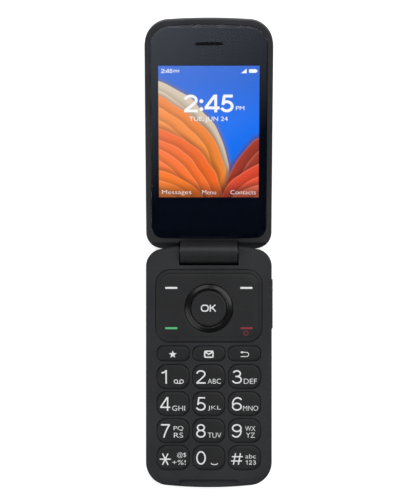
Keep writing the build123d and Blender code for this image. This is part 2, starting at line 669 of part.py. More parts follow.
def battery_cover():
    """Removable back cover."""
    shell = slab(base_plan(), 0, COVER_RIM - COVER_SEAM)
    shell = fillet(bottom_edges(shell), BASE_BACK_ROUND)
    shell -= slab(base_plan(COVER_WALL), COVER_WALL, COVER_RIM)
    shell &= span_box(
        (-BASE_WIDTH, BASE_WIDTH), (BASE_END - PAST, COVER_END - COVER_SEAM), (-PAST, COVER_RIM)
    )
    inner = BASE_WIDTH / 2 - WALL - FIT_CLEAR
    for side in (-1, 1):
        for drop in COVER_CLIP_DROPS:
            clip = Pos(side * (inner - CLIP_THICKNESS / 2), COVER_END - drop, 0)
            shell += clip * slab(Rectangle(CLIP_THICKNESS, CLIP_LENGTH), COVER_WALL, COVER_RIM + CLIP_RISE)
            root = Rectangle(WALL, CLIP_LENGTH)
            shell += clip * slab(root, COVER_WALL, COVER_RIM - COVER_SEAM)
    return shell


# ---------------------------------------------------------------- inside the base
def keypad_places():
    """Centre of every key that presses a dome."""
    corner_x, corner_y = PANEL_WIDTH / 2 - CORNER_NUB[0], PANEL_HEIGHT / 2 - CORNER_NUB[1]
    places = [(x, FUNCTION_Y) for x in COLUMN_X]
    places += [(x, y) for y in NUMBER_ROW_Y for x in COLUMN_X]
    places += [(sx * corner_x, PANEL_Y + sy * corner_y) for sx in (-1, 1) for sy in (-1, 1)]
    ring = (RING_R + RING_BORE_R) / 2
    places += [(ring * dx, RING_Y + ring * dy) for dx, dy in ((1, 0), (0, 1), (-1, 0), (0, -1))]
    return places + [(0, RING_Y)]


def layer_plan(height_limit):
    """Outline shared by the mat, the dome sheet and the board."""
    edge = rectangle_between(-BOARD_WIDTH / 2, BASE_END, BOARD_WIDTH / 2, height_limit)
    toe = rectangle_between(-BASE_WIDTH, BASE_END + TOE_WALL + LAYER_CLEAR, BASE_WIDTH, -BASE_END)
    return base_plan(BOARD_INSET) & edge & toe


def rectangle_between(x_from, y_from, x_to, y_to):
    """Rectangle between two corners."""
    middle = Pos((x_from + x_to) / 2, (y_from + y_to) / 2)
    return middle * Rectangle(x_to - x_from, y_to - y_from)


def keypad_mat():
    """Silicone mat with one nub over each dome."""
    mat = slab(layer_plan(CAVITY_END - LAYER_CLEAR), MAT_BOTTOM, MAT_TOP)
    for x, y in keypad_places():
        mat += Pos(x, y, 0) * slab(Circle(NUB_R), MAT_BOTTOM - NUB_HEIGHT, MAT_BOTTOM)
    return mat


def dome_sheet():
    """Film with the metal domes, lying on the board."""
    sheet = slab(layer_plan(BOARD_END), BOARD_TOP, BOARD_TOP + DOME_SHEET)
    dome = Pos(0, 0, DOME_TOP - DOME_RISE / 2) * Cone(DOME_R, DOME_R / 2, DOME_RISE)
    for x, y in keypad_places():
        sheet += Pos(x, y, 0) * dome
    return sheet


def main_board():
    """Circuit board with a notch for the USB socket."""
    board = slab(layer_plan(BOARD_END), BOARD_BOTTOM, BOARD_TOP)
    notch = span_box(
        (-BASE_WIDTH, -BASE_WIDTH / 2 + SOCKET_INSET + USB_DEPTH + FIT_CLEAR),
        (USB_Y - USB_WIDTH / 2 - FIT_CLEAR, USB_Y + USB_WIDTH / 2 + FIT_CLEAR),
        (0, USB_HEIGHT + USB_SHELL / 2 + FIT_CLEAR),
    )
    return board - notch


def board_shield():
    """Pressed metal can under the upper end of the board."""
    width, length, height = SHIELD_SIZE
    can = slab(RectangleRounded(width, length, SHIELD_CORNER_R), BOARD_BOTTOM - height, BOARD_BOTTOM)
    can = fillet(bottom_edges(can), SHIELD_ROUND)
    inner = RectangleRounded(
        width - 2 * SHEET_METAL, length - 2 * SHEET_METAL, SHIELD_CORNER_R - SHEET_METAL
    )
    can -= slab(inner, BOARD_BOTTOM - height + SHEET_METAL, BOARD_BOTTOM + PAST)
    return Pos(SHIELD_X, BOARD_END - length / 2 - SHIELD_GAP, 0) * can


def card_reader():
    """Metal reader for the cards, under the lower end of the board."""
    width, length, height = READER_SIZE
    body = Box(width, length, height)
    slot = Pos(0, READER_LIP, -READER_SLOT_DROP) * Box(width - 2 * READER_LIP, length, height / 2)
    return Pos(READER_X, POCKET_Y, BOARD_BOTTOM - height / 2) * (body - slot)


def vibration_motor():
    """Coin motor."""
    motor = slab(Circle(MOTOR_R), BOARD_BOTTOM - MOTOR_THICKNESS, BOARD_BOTTOM)
    return Pos(MOTOR_X, POCKET_Y, 0) * fillet(bottom_edges(motor), MOTOR_ROUND)


def microphone():
    """Microphone capsule behind its hole in the keypad end."""
    width, length, height = MICROPHONE_SIZE
    outline = rectangle_between(-width / 2, MICROPHONE_Y, width / 2, MICROPHONE_Y + length)
    return slab(outline, BOARD_BOTTOM - height, BOARD_BOTTOM)


def loudspeaker():
    """Loudspeaker on the back wall, behind its slots."""
    width, length, height = SPEAKER_SIZE
    body = slab(RectangleRounded(width, length, SPEAKER_CORNER_R), BACK_WALL, BACK_WALL + height)
    return Pos(SPEAKER_X, SPEAKER_Y, 0) * body


def battery_pack():
    """Battery in its bay."""
    top = BOARD_BOTTOM - BAY_WEB - BATTERY_GAP
    pack = slab(Rectangle(BATTERY_WIDTH, BATTERY_LENGTH), top - BATTERY_THICKNESS, top)
    return fillet(pack.edges().filter_by(Axis.Y), BATTERY_ROUND)


def contact_block(grow=0.0):
    """Body of the battery contacts, as deep as the wall of the bay."""
    wall = BATTERY_LENGTH / 2 + BATTERY_CLEAR
    half = CONTACT_BLOCK_HALF + grow
    bottom, top = CONTACT_BLOCK_Z
    return span_box((-half, half), (wall, wall + BAY_WALL), (bottom - grow, top + grow))


def battery_contacts():
    """Block with three spring fingers, in the wall of the bay."""
    block = contact_block()
    wall = BATTERY_LENGTH / 2 + BATTERY_CLEAR
    finger = span_box(
        (-CONTACT_FINGER_HALF, CONTACT_FINGER_HALF),
        (BATTERY_LENGTH / 2 + CONTACT_GAP, wall),
        CONTACT_FINGER_Z,
    )
    for x in (-CONTACT_PITCH, 0, CONTACT_PITCH):
        block += Pos(x, 0, 0) * finger
    return block


def headphone_socket():
    """3.5 mm headphone socket."""
    half = JACK_SIZE / 2
    x = -BASE_WIDTH / 2 + SOCKET_INSET
    body = span_box((x, x + JACK_LENGTH), (JACK_Y - half, JACK_Y + half),
                    (JACK_HEIGHT - half, JACK_HEIGHT + half))
    return body - rod_x(JACK_BORE_R, x - PAST, x + JACK_LENGTH + PAST, JACK_Y, JACK_HEIGHT)


def usb_socket():
    """USB socket: a drawn shell with a tongue on its back wall."""
    outer = RectangleRounded(USB_WIDTH, USB_SHELL, USB_CORNER_R)
    bore = RectangleRounded(USB_WIDTH - 2 * USB_WALL, USB_SHELL - 2 * USB_WALL, USB_CORNER_R - USB_WALL)
    back = USB_DEPTH - USB_BACK
    shell = extrude(Plane.YZ * outer, USB_DEPTH) - extrude(Plane.YZ * bore, back)
    depth, width, height = USB_TONGUE
    shell += span_box((back - depth, back), (-width / 2, width / 2), (-height / 2, height / 2))
    return Pos(-BASE_WIDTH / 2 + SOCKET_INSET, USB_Y, USB_HEIGHT) * shell


def side_key():
    """Volume rocker with the flange that keeps it in its window."""
    half = SIDE_KEY_LENGTH / 2
    high = SIDE_KEY_HEIGHT / 2
    outer = BASE_WIDTH / 2 + SIDE_KEY_PROUD
    flange_x = WALL_INNER_X - SIDE_FLANGE_GAP
    body = span_box((flange_x, outer), (-half, half), (-high, high))
    body = fillet(body.edges().filter_by(Axis.X), SIDE_KEY_ROUND)
    body = fillet(body.faces().sort_by(Axis.X)[-1].edges(), SIDE_KEY_EDGE)
    half += SIDE_FLANGE_OVER[0]
    high += SIDE_FLANGE_OVER[1]
    body += span_box((flange_x - SIDE_FLANGE, flange_x), (-half, half), (-high, high))
    return Pos(0, SIDE_KEY_Y, SIDE_KEY_LEVEL) * body


def side_key_switches():
    """Switch strip behind the side key, soldered to the board's edge."""
    back = WALL_INNER_X - SIDE_FLANGE_GAP - SIDE_FLANGE - SWITCH_GAP
    half = SIDE_KEY_LENGTH / 2 - SWITCH_STRIP_INSET
    strip = span_box(
        (back - SWITCH_STRIP, back), (-half, half), (-SWITCH_STRIP_HALF, SWITCH_STRIP_HALF)
    )
    for y in (SWITCH_BUTTON_INSET - half, half - SWITCH_BUTTON_INSET):
        strip += rod_x(SWITCH_BUTTON_R, back, back + SWITCH_BUTTON_RISE, y)
    tab_half, tab = SWITCH_TAB
    strip += span_box((BOARD_WIDTH / 2, back - SWITCH_STRIP), (-tab_half, tab_half), (-tab, 0))
    return Pos(0, SIDE_KEY_Y, SIDE_KEY_LEVEL) * strip


def base_screws():
    """Four screws from the deck into the front housing's bosses."""
    seat = SPLIT_HEIGHT - DECK_LOWER
    places = [Pos(x, y, seat) for x, y in screw_places()]
    return Compound(children=[place * screw(BASE_SCREW_LENGTH) for place in places])


# ---------------------------------------------------------------- keys
def capped(face, proud, edge):
    """Key cap: from the flange's underside to its proud top, with a softened upper edge."""
    cap = slab(face, KEY_BOTTOM, BASE_THICKNESS + proud)
    return fillet(top_edges(cap), edge)


def key(width, height, corner):
    """One keypad key with its flange."""
    cap = capped(key_face(width, height, corner), KEY_PROUD, KEY_EDGE)
    flange = slab(key_face(width, height, corner, KEY_FLANGE), KEY_BOTTOM, KEY_BOTTOM + FLANGE_THICKNESS)
    return cap + flange


def corner_key(side_x, side_y):
    """A quarter of the navigation panel, cut away round the ring."""
    face = capped(panel_face(-KEY_CLEAR), 0.0, PANEL_EDGE)
    face += slab(panel_face(KEY_FLANGE), KEY_BOTTOM, KEY_BOTTOM + FLANGE_THICKNESS)
    slit = PANEL_SLIT / 2
    x = (slit, PANEL_WIDTH) if side_x > 0 else (-PANEL_WIDTH, -slit)
    y = (slit, PANEL_HEIGHT) if side_y > 0 else (-PANEL_HEIGHT, -slit)
    face &= span_box(x, y, (0, 2 * BASE_THICKNESS))
    face = Pos(0, PANEL_Y, 0) * face
    return face - Pos(0, RING_Y, 0) * slab(Circle(RING_R + KEY_CLEAR), 0, 2 * BASE_THICKNESS)


def ring_blank(outer, inner, z_from, z_to):
    """Flat ring about the navigation ring's centre."""
    return Pos(0, RING_Y, 0) * slab(Circle(outer) - Circle(inner), z_from, z_to)


def nav_ring():
    """Navigation ring with a rounded top."""
    top = BASE_THICKNESS + RING_PROUD
    return fillet(top_edges(ring_blank(RING_R, RING_BORE_R, top - RING_THICKNESS, top)), RING_ROUND)


def nav_ring_seat():
    """Rubber seat: it rocks about X on the mat, and the ring rocks about Y on its two pads."""
    top = BASE_THICKNESS + RING_PROUD - RING_THICKNESS - RING_PAD_GAP
    outer, inner = RING_R - RING_SEAT_INSET, RING_BORE_R + RING_SEAT_INSET
    pads = ring_blank(outer, inner, KEY_BOTTOM, top) & span_box(
        (-RING_PAD / 2, RING_PAD / 2), (RING_Y - RING_R, RING_Y + RING_R), (0, 2 * BASE_THICKNESS)
    )
    return ring_blank(outer, inner, KEY_BOTTOM, top - RING_TILT_ROOM + RING_PAD_GAP) + pads


def ok_key():
    """Round centre key."""
    return Pos(0, RING_Y, 0) * capped(Circle(OK_KEY_R), KEY_PROUD, KEY_EDGE)


# ---------------------------------------------------------------- hinge pieces
def hinge_can():
    """Cartridge can in the right half of the barrel, closed at its inner end."""
    right = BARREL_HALF - CAN_INSET
    left = right - CAN_LENGTH
    can = rod_x(CAN_R, left, right)
    can -= rod_x(CAN_R - CAN_WALL, left + CAN_WALL, right - CAN_WALL)
    return can - rod_x(CAM_SHAFT_R + RUN_CLEAR, right - PAST, right + PAST)


def thrust_collar(side):
    """Collar that keeps the barrel off one shoulder, 1 for the right and -1 for the left."""
    return rod_x(THRUST_R, side * (BARREL_HALF + THRUST_GAP), side * (NOTCH_WIDTH / 2 - THRUST_GAP))


def cam_shaft():
    """Shaft held by the right shoulder, with the cam disc inside the can and a collar outside it."""
    right = DISC_X + CAM_DISC
    shaft = rod_x(CAM_SHAFT_R, right - SHAFT_OVERLAP, NOTCH_WIDTH / 2 + CAM_SHAFT_REACH)
    disc = rod_x(CAN_R - CAN_WALL - RUN_CLEAR, DISC_X, right)
    return Pos(0, AXIS_Y, AXIS_Z) * (shaft + disc + thrust_collar(1))


def cam_follower():
    """Follower that slides in the can and presses on the cam disc."""
    return rod_x(CAN_R - CAN_WALL - FIT_CLEAR, FOLLOWER_X, FOLLOWER_X + FOLLOWER_LENGTH)


def hinge_spring():
    """Compression spring behind the follower."""
    left = BARREL_HALF - CAN_INSET - CAN_LENGTH + CAN_WALL
    coil_r = CAN_R - CAN_WALL - SPRING_WIRE / 2 - SPRING_CLEAR
    height = FOLLOWER_X - left - SPRING_WIRE - 2 * SPRING_END_GAP
    path = Helix(SPRING_PITCH, height, coil_r)
    section = Plane(origin=path @ 0, z_dir=path % 0) * Circle(SPRING_WIRE / 2)
    coil = sweep(section, path)
    return Pos(left + SPRING_WIRE / 2 + SPRING_END_GAP, 0, 0) * (Rot(0, 90, 0) * coil)


def hinge_pivot():
    """Hollow tube with its collar, held by the left shoulder, on which the barrel turns."""
    tube = rod_x(PIVOT_R, *PIVOT_X) + thrust_collar(-1)
    return Pos(0, AXIS_Y, AXIS_Z) * (tube - rod_x(PIVOT_BORE_R, PIVOT_X[0] - PAST, PIVOT_X[1] + PAST))


def hinge_flex():
    """Flex cable rolled up inside the pivot tube."""
    shoulder, inside = PIVOT_X
    return rod_x(PIVOT_BORE_R - FLEX_CLEAR, shoulder - FLEX_OUT, inside - FLEX_IN, AXIS_Y, AXIS_Z)


# ---------------------------------------------------------------- lid housings
def lens_plan(grow=0.0):
    """Outline of the screen lens."""
    return plan_face(
        LENS_WIDTH, LENS_BOTTOM, LENS_TOP, HEEL_CROWN_R, LENS_CROWN_R,
        LENS_BOTTOM_CORNER_R, LENS_TOP_CORNER_R, -grow,
    )


def module_plan(grow=0.0):
    """Outline of the screen module, longer at its chin."""
    half = SCREEN_WIDTH / 2 + MODULE_SIDE + grow
    low = SCREEN_CENTRE - SCREEN_HEIGHT / 2 - MODULE_CHIN - grow
    high = SCREEN_CENTRE + SCREEN_HEIGHT / 2 + MODULE_SIDE + grow
    return rectangle_between(-half, low, half, high)


def knuckle_scoops():
    """Hollows in the lid's heel, round the two shoulders."""
    inner = NOTCH_WIDTH / 2
    return rod_x(SCOOP_R, inner, LID_WIDTH) + rod_x(SCOOP_R, -inner, -LID_WIDTH)


def lid_screw_places():
    """Centres of the four screws under the lens."""
    side_inset, low_inset, high_inset = LID_SCREW_INSET
    x = LENS_WIDTH / 2 - side_inset
    rows = (LENS_BOTTOM + low_inset, LENS_TOP - high_inset)
    return [(side * x, y) for side in (-1, 1) for y in rows]


def lid_inner_housing():
    """Rim and tray that hold the screen lens."""
    shell = slab(lid_plan(), LID_SPLIT_Z, INNER_Z)
    shell = fillet(top_edges(shell), LID_RIM_ROUND)
    room = slab(lid_plan(LID_WALL), LID_SPLIT_Z - PAST, INNER_Z - INNER_PLATE)
    shell -= room & span_box((-LID_WIDTH, LID_WIDTH), (LENS_BOTTOM + PAST, LID_REACH), (OUTER_Z, 0))
    shell -= slab(lens_plan(LENS_CLEAR), LENS_BACK_Z, 0)
    shell -= slab(module_plan(MODULE_CLEAR), OUTER_Z, 0)
    width, height = EARPIECE_SIZE[0] + 2 * EARPIECE_CLEAR, EARPIECE_SIZE[1] + 2 * EARPIECE_CLEAR
    shell -= Pos(0, EAR_Y, 0) * slab(Rectangle(width, height), OUTER_Z, 0)
    shell -= knuckle_scoops()
    neck_end = SCOOP_R - NECK_INSET + NECK_GAP
    shell -= span_box((-NOTCH_WIDTH / 2, NOTCH_WIDTH / 2), (-BARREL_R, neck_end), (OUTER_Z, 0))
    for x, y in lid_screw_places():
        shell -= Pos(x, y, 0) * slab(Circle(SCREW_SHANK_R + SCREW_ROOM), OUTER_Z, 0)
        shell -= Pos(x, y, 0) * slab(Circle(SCREW_HEAD_R + SCREW_ROOM), LENS_BACK_Z - SCREW_HEAD, 0)
    return shell


def heel_cut():
    """What comes off the lid's back so that it curves in towards the hinge."""
    drop = LID_THICKNESS - HEEL_THICKNESS
    start = sqrt(2 * HEEL_R * drop - drop**2)
    drum = rod_x(HEEL_R, -LID_WIDTH, LID_WIDTH, start, OUTER_Z + HEEL_R)
    inside = LID_WIDTH - PAST
    low = (OUTER_Z - PAST, OUTER_Z + 2 * drop)
    return span_box((-inside, inside), (-LID_HEEL - PAST, start), low) - drum


def barrel():
    """Hinge barrel with its neck, collars and bores."""
    half = BARREL_HALF
    body = rod_x(BARREL_R, -half, half)
    neck_y, at_lid, at_barrel = SCOOP_R - NECK_INSET, *NECK_BOTTOM
    profile = Polyline(
        (0, 0),
        (neck_y, INNER_Z - NECK_TOP),
        (neck_y, LID_SPLIT_Z - at_lid),
        (CLOSED_GAP, LID_SPLIT_Z - at_barrel),
        (-BARREL_R * sin(pi / 4), -BARREL_R * cos(pi / 4)),
        close=True,
    )
    body += extrude(Plane.YZ.offset(-half) * make_face(profile), 2 * half)
    cut, reach = COLLAR_GROOVE_WIDTH / 2, BARREL_R * COLLAR_REACH
    groove = rod_x(BARREL_R + PAST, -cut, cut) - rod_x(BARREL_R - COLLAR_GROOVE, -PAST, PAST)
    groove &= span_box((-PAST, PAST), (-2 * BARREL_R, reach), (-reach, 2 * BARREL_R))
    for side in (-1, 1):
        body -= Pos(side * (half - COLLAR_WIDTH), 0, 0) * groove
    body -= rod_x(CAN_R + FIT_CLEAR, half - CAN_INSET - CAN_LENGTH - FIT_CLEAR, half + PAST)
    return body - rod_x(PIVOT_R + RUN_CLEAR, -half - PAST, PIVOT_X[1] + PIVOT_END_ROOM)


def outer_lens_face(grow=0.0):
    """Outline of the outer lens."""
    return RectangleRounded(OUTER_LENS_WIDTH + 2 * grow, OUTER_LENS_HEIGHT + 2 * grow, OUTER_LENS_R + grow)


def lid_outer_housing():
    """Back of the lid with the hinge barrel."""
    shell = slab(lid_plan(), OUTER_Z, LID_SPLIT_Z)
    shell = fillet(bottom_edges(shell), LID_BACK_ROUND)
    heel = heel_cut()
    shell -= heel
    room_start = sqrt(2 * HEEL_R * (LID_THICKNESS - HEEL_THICKNESS)) * ROOM_START
    room = slab(lid_plan(LID_WALL), OUTER_Z + LID_WALL, LID_SPLIT_Z + PAST)
    shell -= room & span_box((-LID_WIDTH, LID_WIDTH), (room_start, LID_REACH), (OUTER_Z, 0))
    lens = Pos(0, OUTER_LENS_CENTRE, 0)
    shell -= lens * slab(outer_lens_face(LENS_CLEAR), OUTER_Z - PAST, OUTER_Z + OUTER_LENS_THICKNESS)
    shell -= lens * slab(outer_lens_face(-OUTER_LENS_LEDGE), OUTER_Z, OUTER_Z + LID_WALL + PAST)
    shell -= knuckle_scoops()
    floor = OUTER_Z + LID_WALL
    for x, y in lid_screw_places():
        shell += Pos(x, y, 0) * slab(Circle(LID_BOSS_R), floor - JOIN, INNER_Z - INNER_PLATE) - heel
        shell -= Pos(x, y, 0) * slab(Circle(SCREW_SHANK_R), floor + LID_BOSS_FLOOR, 0)
    return shell + barrel()


# ---------------------------------------------------------------- inside the lid
def screen_lens():
    """Window over the screen, with the earpiece slot."""
    lens = slab(lens_plan(), LENS_BACK_Z, INNER_Z - LENS_SINK)
    slot = Pos(0, EAR_Y, 0) * slab(SlotOverall(EAR_SLOT_WIDTH, EAR_SLOT_HEIGHT), OUTER_Z, 0)
    return fillet(top_edges(lens), LENS_EDGE) - slot


def earpiece_mesh():
    """Mesh strip in the earpiece slot."""
    face = SlotOverall(EAR_SLOT_WIDTH - EAR_MESH_CLEAR, EAR_SLOT_HEIGHT - EAR_MESH_CLEAR)
    return Pos(0, EAR_Y, 0) * slab(face, LENS_BACK_Z, LENS_BACK_Z + EAR_MESH_THICKNESS)


def earpiece():
    """Receiver under the slot."""
    width, height, depth = EARPIECE_SIZE
    face = RectangleRounded(width, height, EARPIECE_CORNER_R)
    return Pos(0, EAR_Y, 0) * slab(face, MODULE_FRONT_Z - depth, MODULE_FRONT_Z)


def screen_module():
    """Screen with its backlight."""
    return slab(module_plan(), MODULE_BACK_Z, MODULE_FRONT_Z)


def screen_frame():
    """Steel mid plate behind the screen."""
    return slab(module_plan(FRAME_OVER), FRAME_BACK_Z, MODULE_BACK_Z)


def lid_board():
    """Circuit board behind the mid plate."""
    low = SCREEN_CENTRE - SCREEN_HEIGHT / 2 - LID_BOARD_LOW
    face = rectangle_between(-LID_BOARD_HALF, low, LID_BOARD_HALF, EAR_Y - LID_BOARD_HIGH)
    top = FRAME_BACK_Z - LAYER_GAP
    return slab(face, top - LID_BOARD_THICKNESS, top)


def outer_screen():
    """Small screen under the outer lens."""
    across, along = OUTER_SCREEN_RIM
    face = RectangleRounded(OUTER_SCREEN + across, OUTER_SCREEN + along, OUTER_SCREEN_CORNER_R)
    body = slab(face, UNDER_OUTER_LENS, UNDER_OUTER_LENS + OUTER_SCREEN_THICKNESS)
    return Pos(0, OUTER_SCREEN_CENTRE, 0) * body


def outer_lens():
    """Window over the outer screen, camera and flash."""
    lens = slab(outer_lens_face(), OUTER_Z, OUTER_Z + OUTER_LENS_THICKNESS)
    lens = Pos(0, OUTER_LENS_CENTRE, 0) * fillet(bottom_edges(lens), LENS_EDGE)
    return lens - Pos(0, CAMERA_CENTRE, 0) * slab(Circle(CAMERA_RING_R + FIT_CLEAR), OUTER_Z - PAST, 0)


def camera_module():
    """Camera with its barrel in the outer lens."""
    front = OUTER_Z + CAMERA_SINK
    body = slab(Rectangle(CAMERA_SIDE, CAMERA_SIDE), UNDER_OUTER_LENS, UNDER_OUTER_LENS + CAMERA_DEPTH)
    nose = slab(Circle(CAMERA_RING_R), front, UNDER_OUTER_LENS)
    nose -= slab(Circle(CAMERA_RING_R - CAMERA_RING_WIDTH), front - PAST, front + CAMERA_DISH)
    return Pos(0, CAMERA_CENTRE, 0) * (body + nose)


def flash():
    """Flash lamp beside the camera."""
    face = RectangleRounded(FLASH_SIDE, FLASH_SIDE, FLASH_CORNER_R)
    lamp = slab(face, UNDER_OUTER_LENS, UNDER_OUTER_LENS + FLASH_THICKNESS)
    return Pos(FLASH_OFFSET, CAMERA_CENTRE, 0) * lamp


def lid_magnet():
    """Magnet that tells the base that the lid is closed."""
    y = [LID_REACH - drop for drop in MAGNET_DROP]
    top = INNER_Z - INNER_PLATE - MAGNET_GAP
    return span_box(MAGNET_X, y, (top - MAGNET_THICKNESS, top))


def lid_screws():
    """Four screws under the lens."""
    seat = LENS_BACK_Z - SCREW_HEAD
    places = [Pos(x, y, seat) * Rot(180, 0, 0) for x, y in lid_screw_places()]
    return Compound(children=[place * screw(LID_SCREW_LENGTH) for place in places])


# ---------------------------------------------------------------- build
BASE_PIECES = {
    "base_front_housing": base_front_housing,
    "base_rear_housing": base_rear_housing,
    "battery_cover": battery_cover,
    "battery_pack": battery_pack,
    "battery_contacts": battery_contacts,
    "keypad_mat": keypad_mat,
    "dome_sheet": dome_sheet,
    "main_board": main_board,
    "board_shield": board_shield,
    "card_reader": card_reader,
    "vibration_motor": vibration_motor,
    "microphone": microphone,
    "loudspeaker": loudspeaker,
    "headphone_socket": headphone_socket,
    "usb_socket": usb_socket,
    "side_key_switches": side_key_switches,
    "base_screws": base_screws,
    "volume_key": side_key,
    "nav_ring": nav_ring,
    "nav_ring_seat": nav_ring_seat,
    "ok_key": ok_key,
    "hinge_cam_shaft": cam_shaft,
    "hinge_pivot_tube": hinge_pivot,
    "hinge_flex": hinge_flex,
}
LID_PIECES = {
    "lid_inner_housing": lid_inner_housing,
    "lid_outer_housing": lid_outer_housing,
    "screen_lens": screen_lens,
    "screen_module": screen_module,
    "screen_frame": screen_frame,
    "earpiece": earpiece,
    "earpiece_mesh": earpiece_mesh,
    "lid_board": lid_board,
    "outer_screen": outer_screen,
    "outer_lens": outer_lens,
    "camera_module": camera_module,
    "flash_lamp": flash,
    "lid_magnet": lid_magnet,
    "lid_screws": lid_screws,
    "hinge_can": hinge_can,
    "hinge_spring": hinge_spring,
    "hinge_cam_follower": cam_follower,
}
CORNER_KEYS = {
    "soft_key_left": (-1, 1),
    "soft_key_right": (1, 1),
    "send_key": (-1, -1),
    "end_key": (1, -1),
}


def main():
    """Write every node."""
    os.makedirs("parts", exist_ok=True)
    for name, build in BASE_PIECES.items():
        save(name, build())
    for name, build in LID_PIECES.items():
        save_lid(name, build())
    for name, (side_x, side_y) in CORNER_KEYS.items():
        save(name, corner_key(side_x, side_y))
    for index, name in enumerate(NUMBER_KEYS):
        row, column = divmod(index, len(COLUMN_X))
        place = Pos(COLUMN_X[column], NUMBER_ROW_Y[row], 0)
        save(f"number_key_{name}", place * key(KEY_WIDTH, NUMBER_KEY_HEIGHT, NUMBER_CORNER_R))
    for x, name in zip(COLUMN_X, FUNCTION_KEYS):
        place = Pos(x, FUNCTION_Y, 0)
        save(f"{name}_key", place * key(KEY_WIDTH, FUNCTION_KEY_HEIGHT, FUNCTION_CORNER_R))


main()
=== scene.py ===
"""Dress of a flip phone lying open on its back: keycaps, legends, screens, finishes, light and camera.

Sizes in the classes are millimetres. Meshes are written in metres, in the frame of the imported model:
+X to the right of someone reading the keypad, +Y towards the lid's free end, +Z away from the keypad.
"""

import json
import logging
import math
from collections.abc import Sequence
from dataclasses import dataclass, field
from enum import Enum
from functools import lru_cache

import bpy
import numpy as np
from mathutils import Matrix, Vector
from mathutils.geometry import tessellate_polygon


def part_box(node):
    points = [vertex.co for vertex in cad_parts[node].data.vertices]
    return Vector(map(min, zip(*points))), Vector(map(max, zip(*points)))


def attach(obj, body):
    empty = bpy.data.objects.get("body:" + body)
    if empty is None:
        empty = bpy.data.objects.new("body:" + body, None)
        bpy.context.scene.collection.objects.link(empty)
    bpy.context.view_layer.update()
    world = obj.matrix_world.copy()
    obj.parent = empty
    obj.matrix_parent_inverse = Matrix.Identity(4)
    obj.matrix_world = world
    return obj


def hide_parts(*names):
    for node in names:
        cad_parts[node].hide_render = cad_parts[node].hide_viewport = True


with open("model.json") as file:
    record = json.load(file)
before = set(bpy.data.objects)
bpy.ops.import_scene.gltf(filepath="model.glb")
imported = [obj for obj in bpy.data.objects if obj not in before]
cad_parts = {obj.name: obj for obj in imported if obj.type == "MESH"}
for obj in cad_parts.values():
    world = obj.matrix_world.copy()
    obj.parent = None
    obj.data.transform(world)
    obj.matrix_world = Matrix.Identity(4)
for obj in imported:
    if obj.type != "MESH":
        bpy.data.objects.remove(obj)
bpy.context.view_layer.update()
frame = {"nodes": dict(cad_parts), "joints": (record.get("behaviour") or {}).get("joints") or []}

logging.basicConfig(level=logging.INFO, format="%(message)s")
log = logging.getLogger("flip_phone")

MM = 0.001

# Sockets of a Mix node that mixes colours, by their places.
MIX_SHARE, MIX_UNDER, MIX_OVER, MIX_RESULT = 0, 6, 7, 2

# Shares of a keycap's outline on which the rings of its crown lie.
CROWN_SHARES = (0.86, 0.7, 0.52, 0.34, 0.17)

# Rise of each plate of a sign over the one before, so that two that cross share no face.
PLATE_STEP = 0.004

LEAST_AREA = 1e-9
TEXT_CURVE_STEPS = 6

Colour = tuple[float, float, float]
Socket = bpy.types.NodeSocket
Value = Socket | float | Sequence[float]


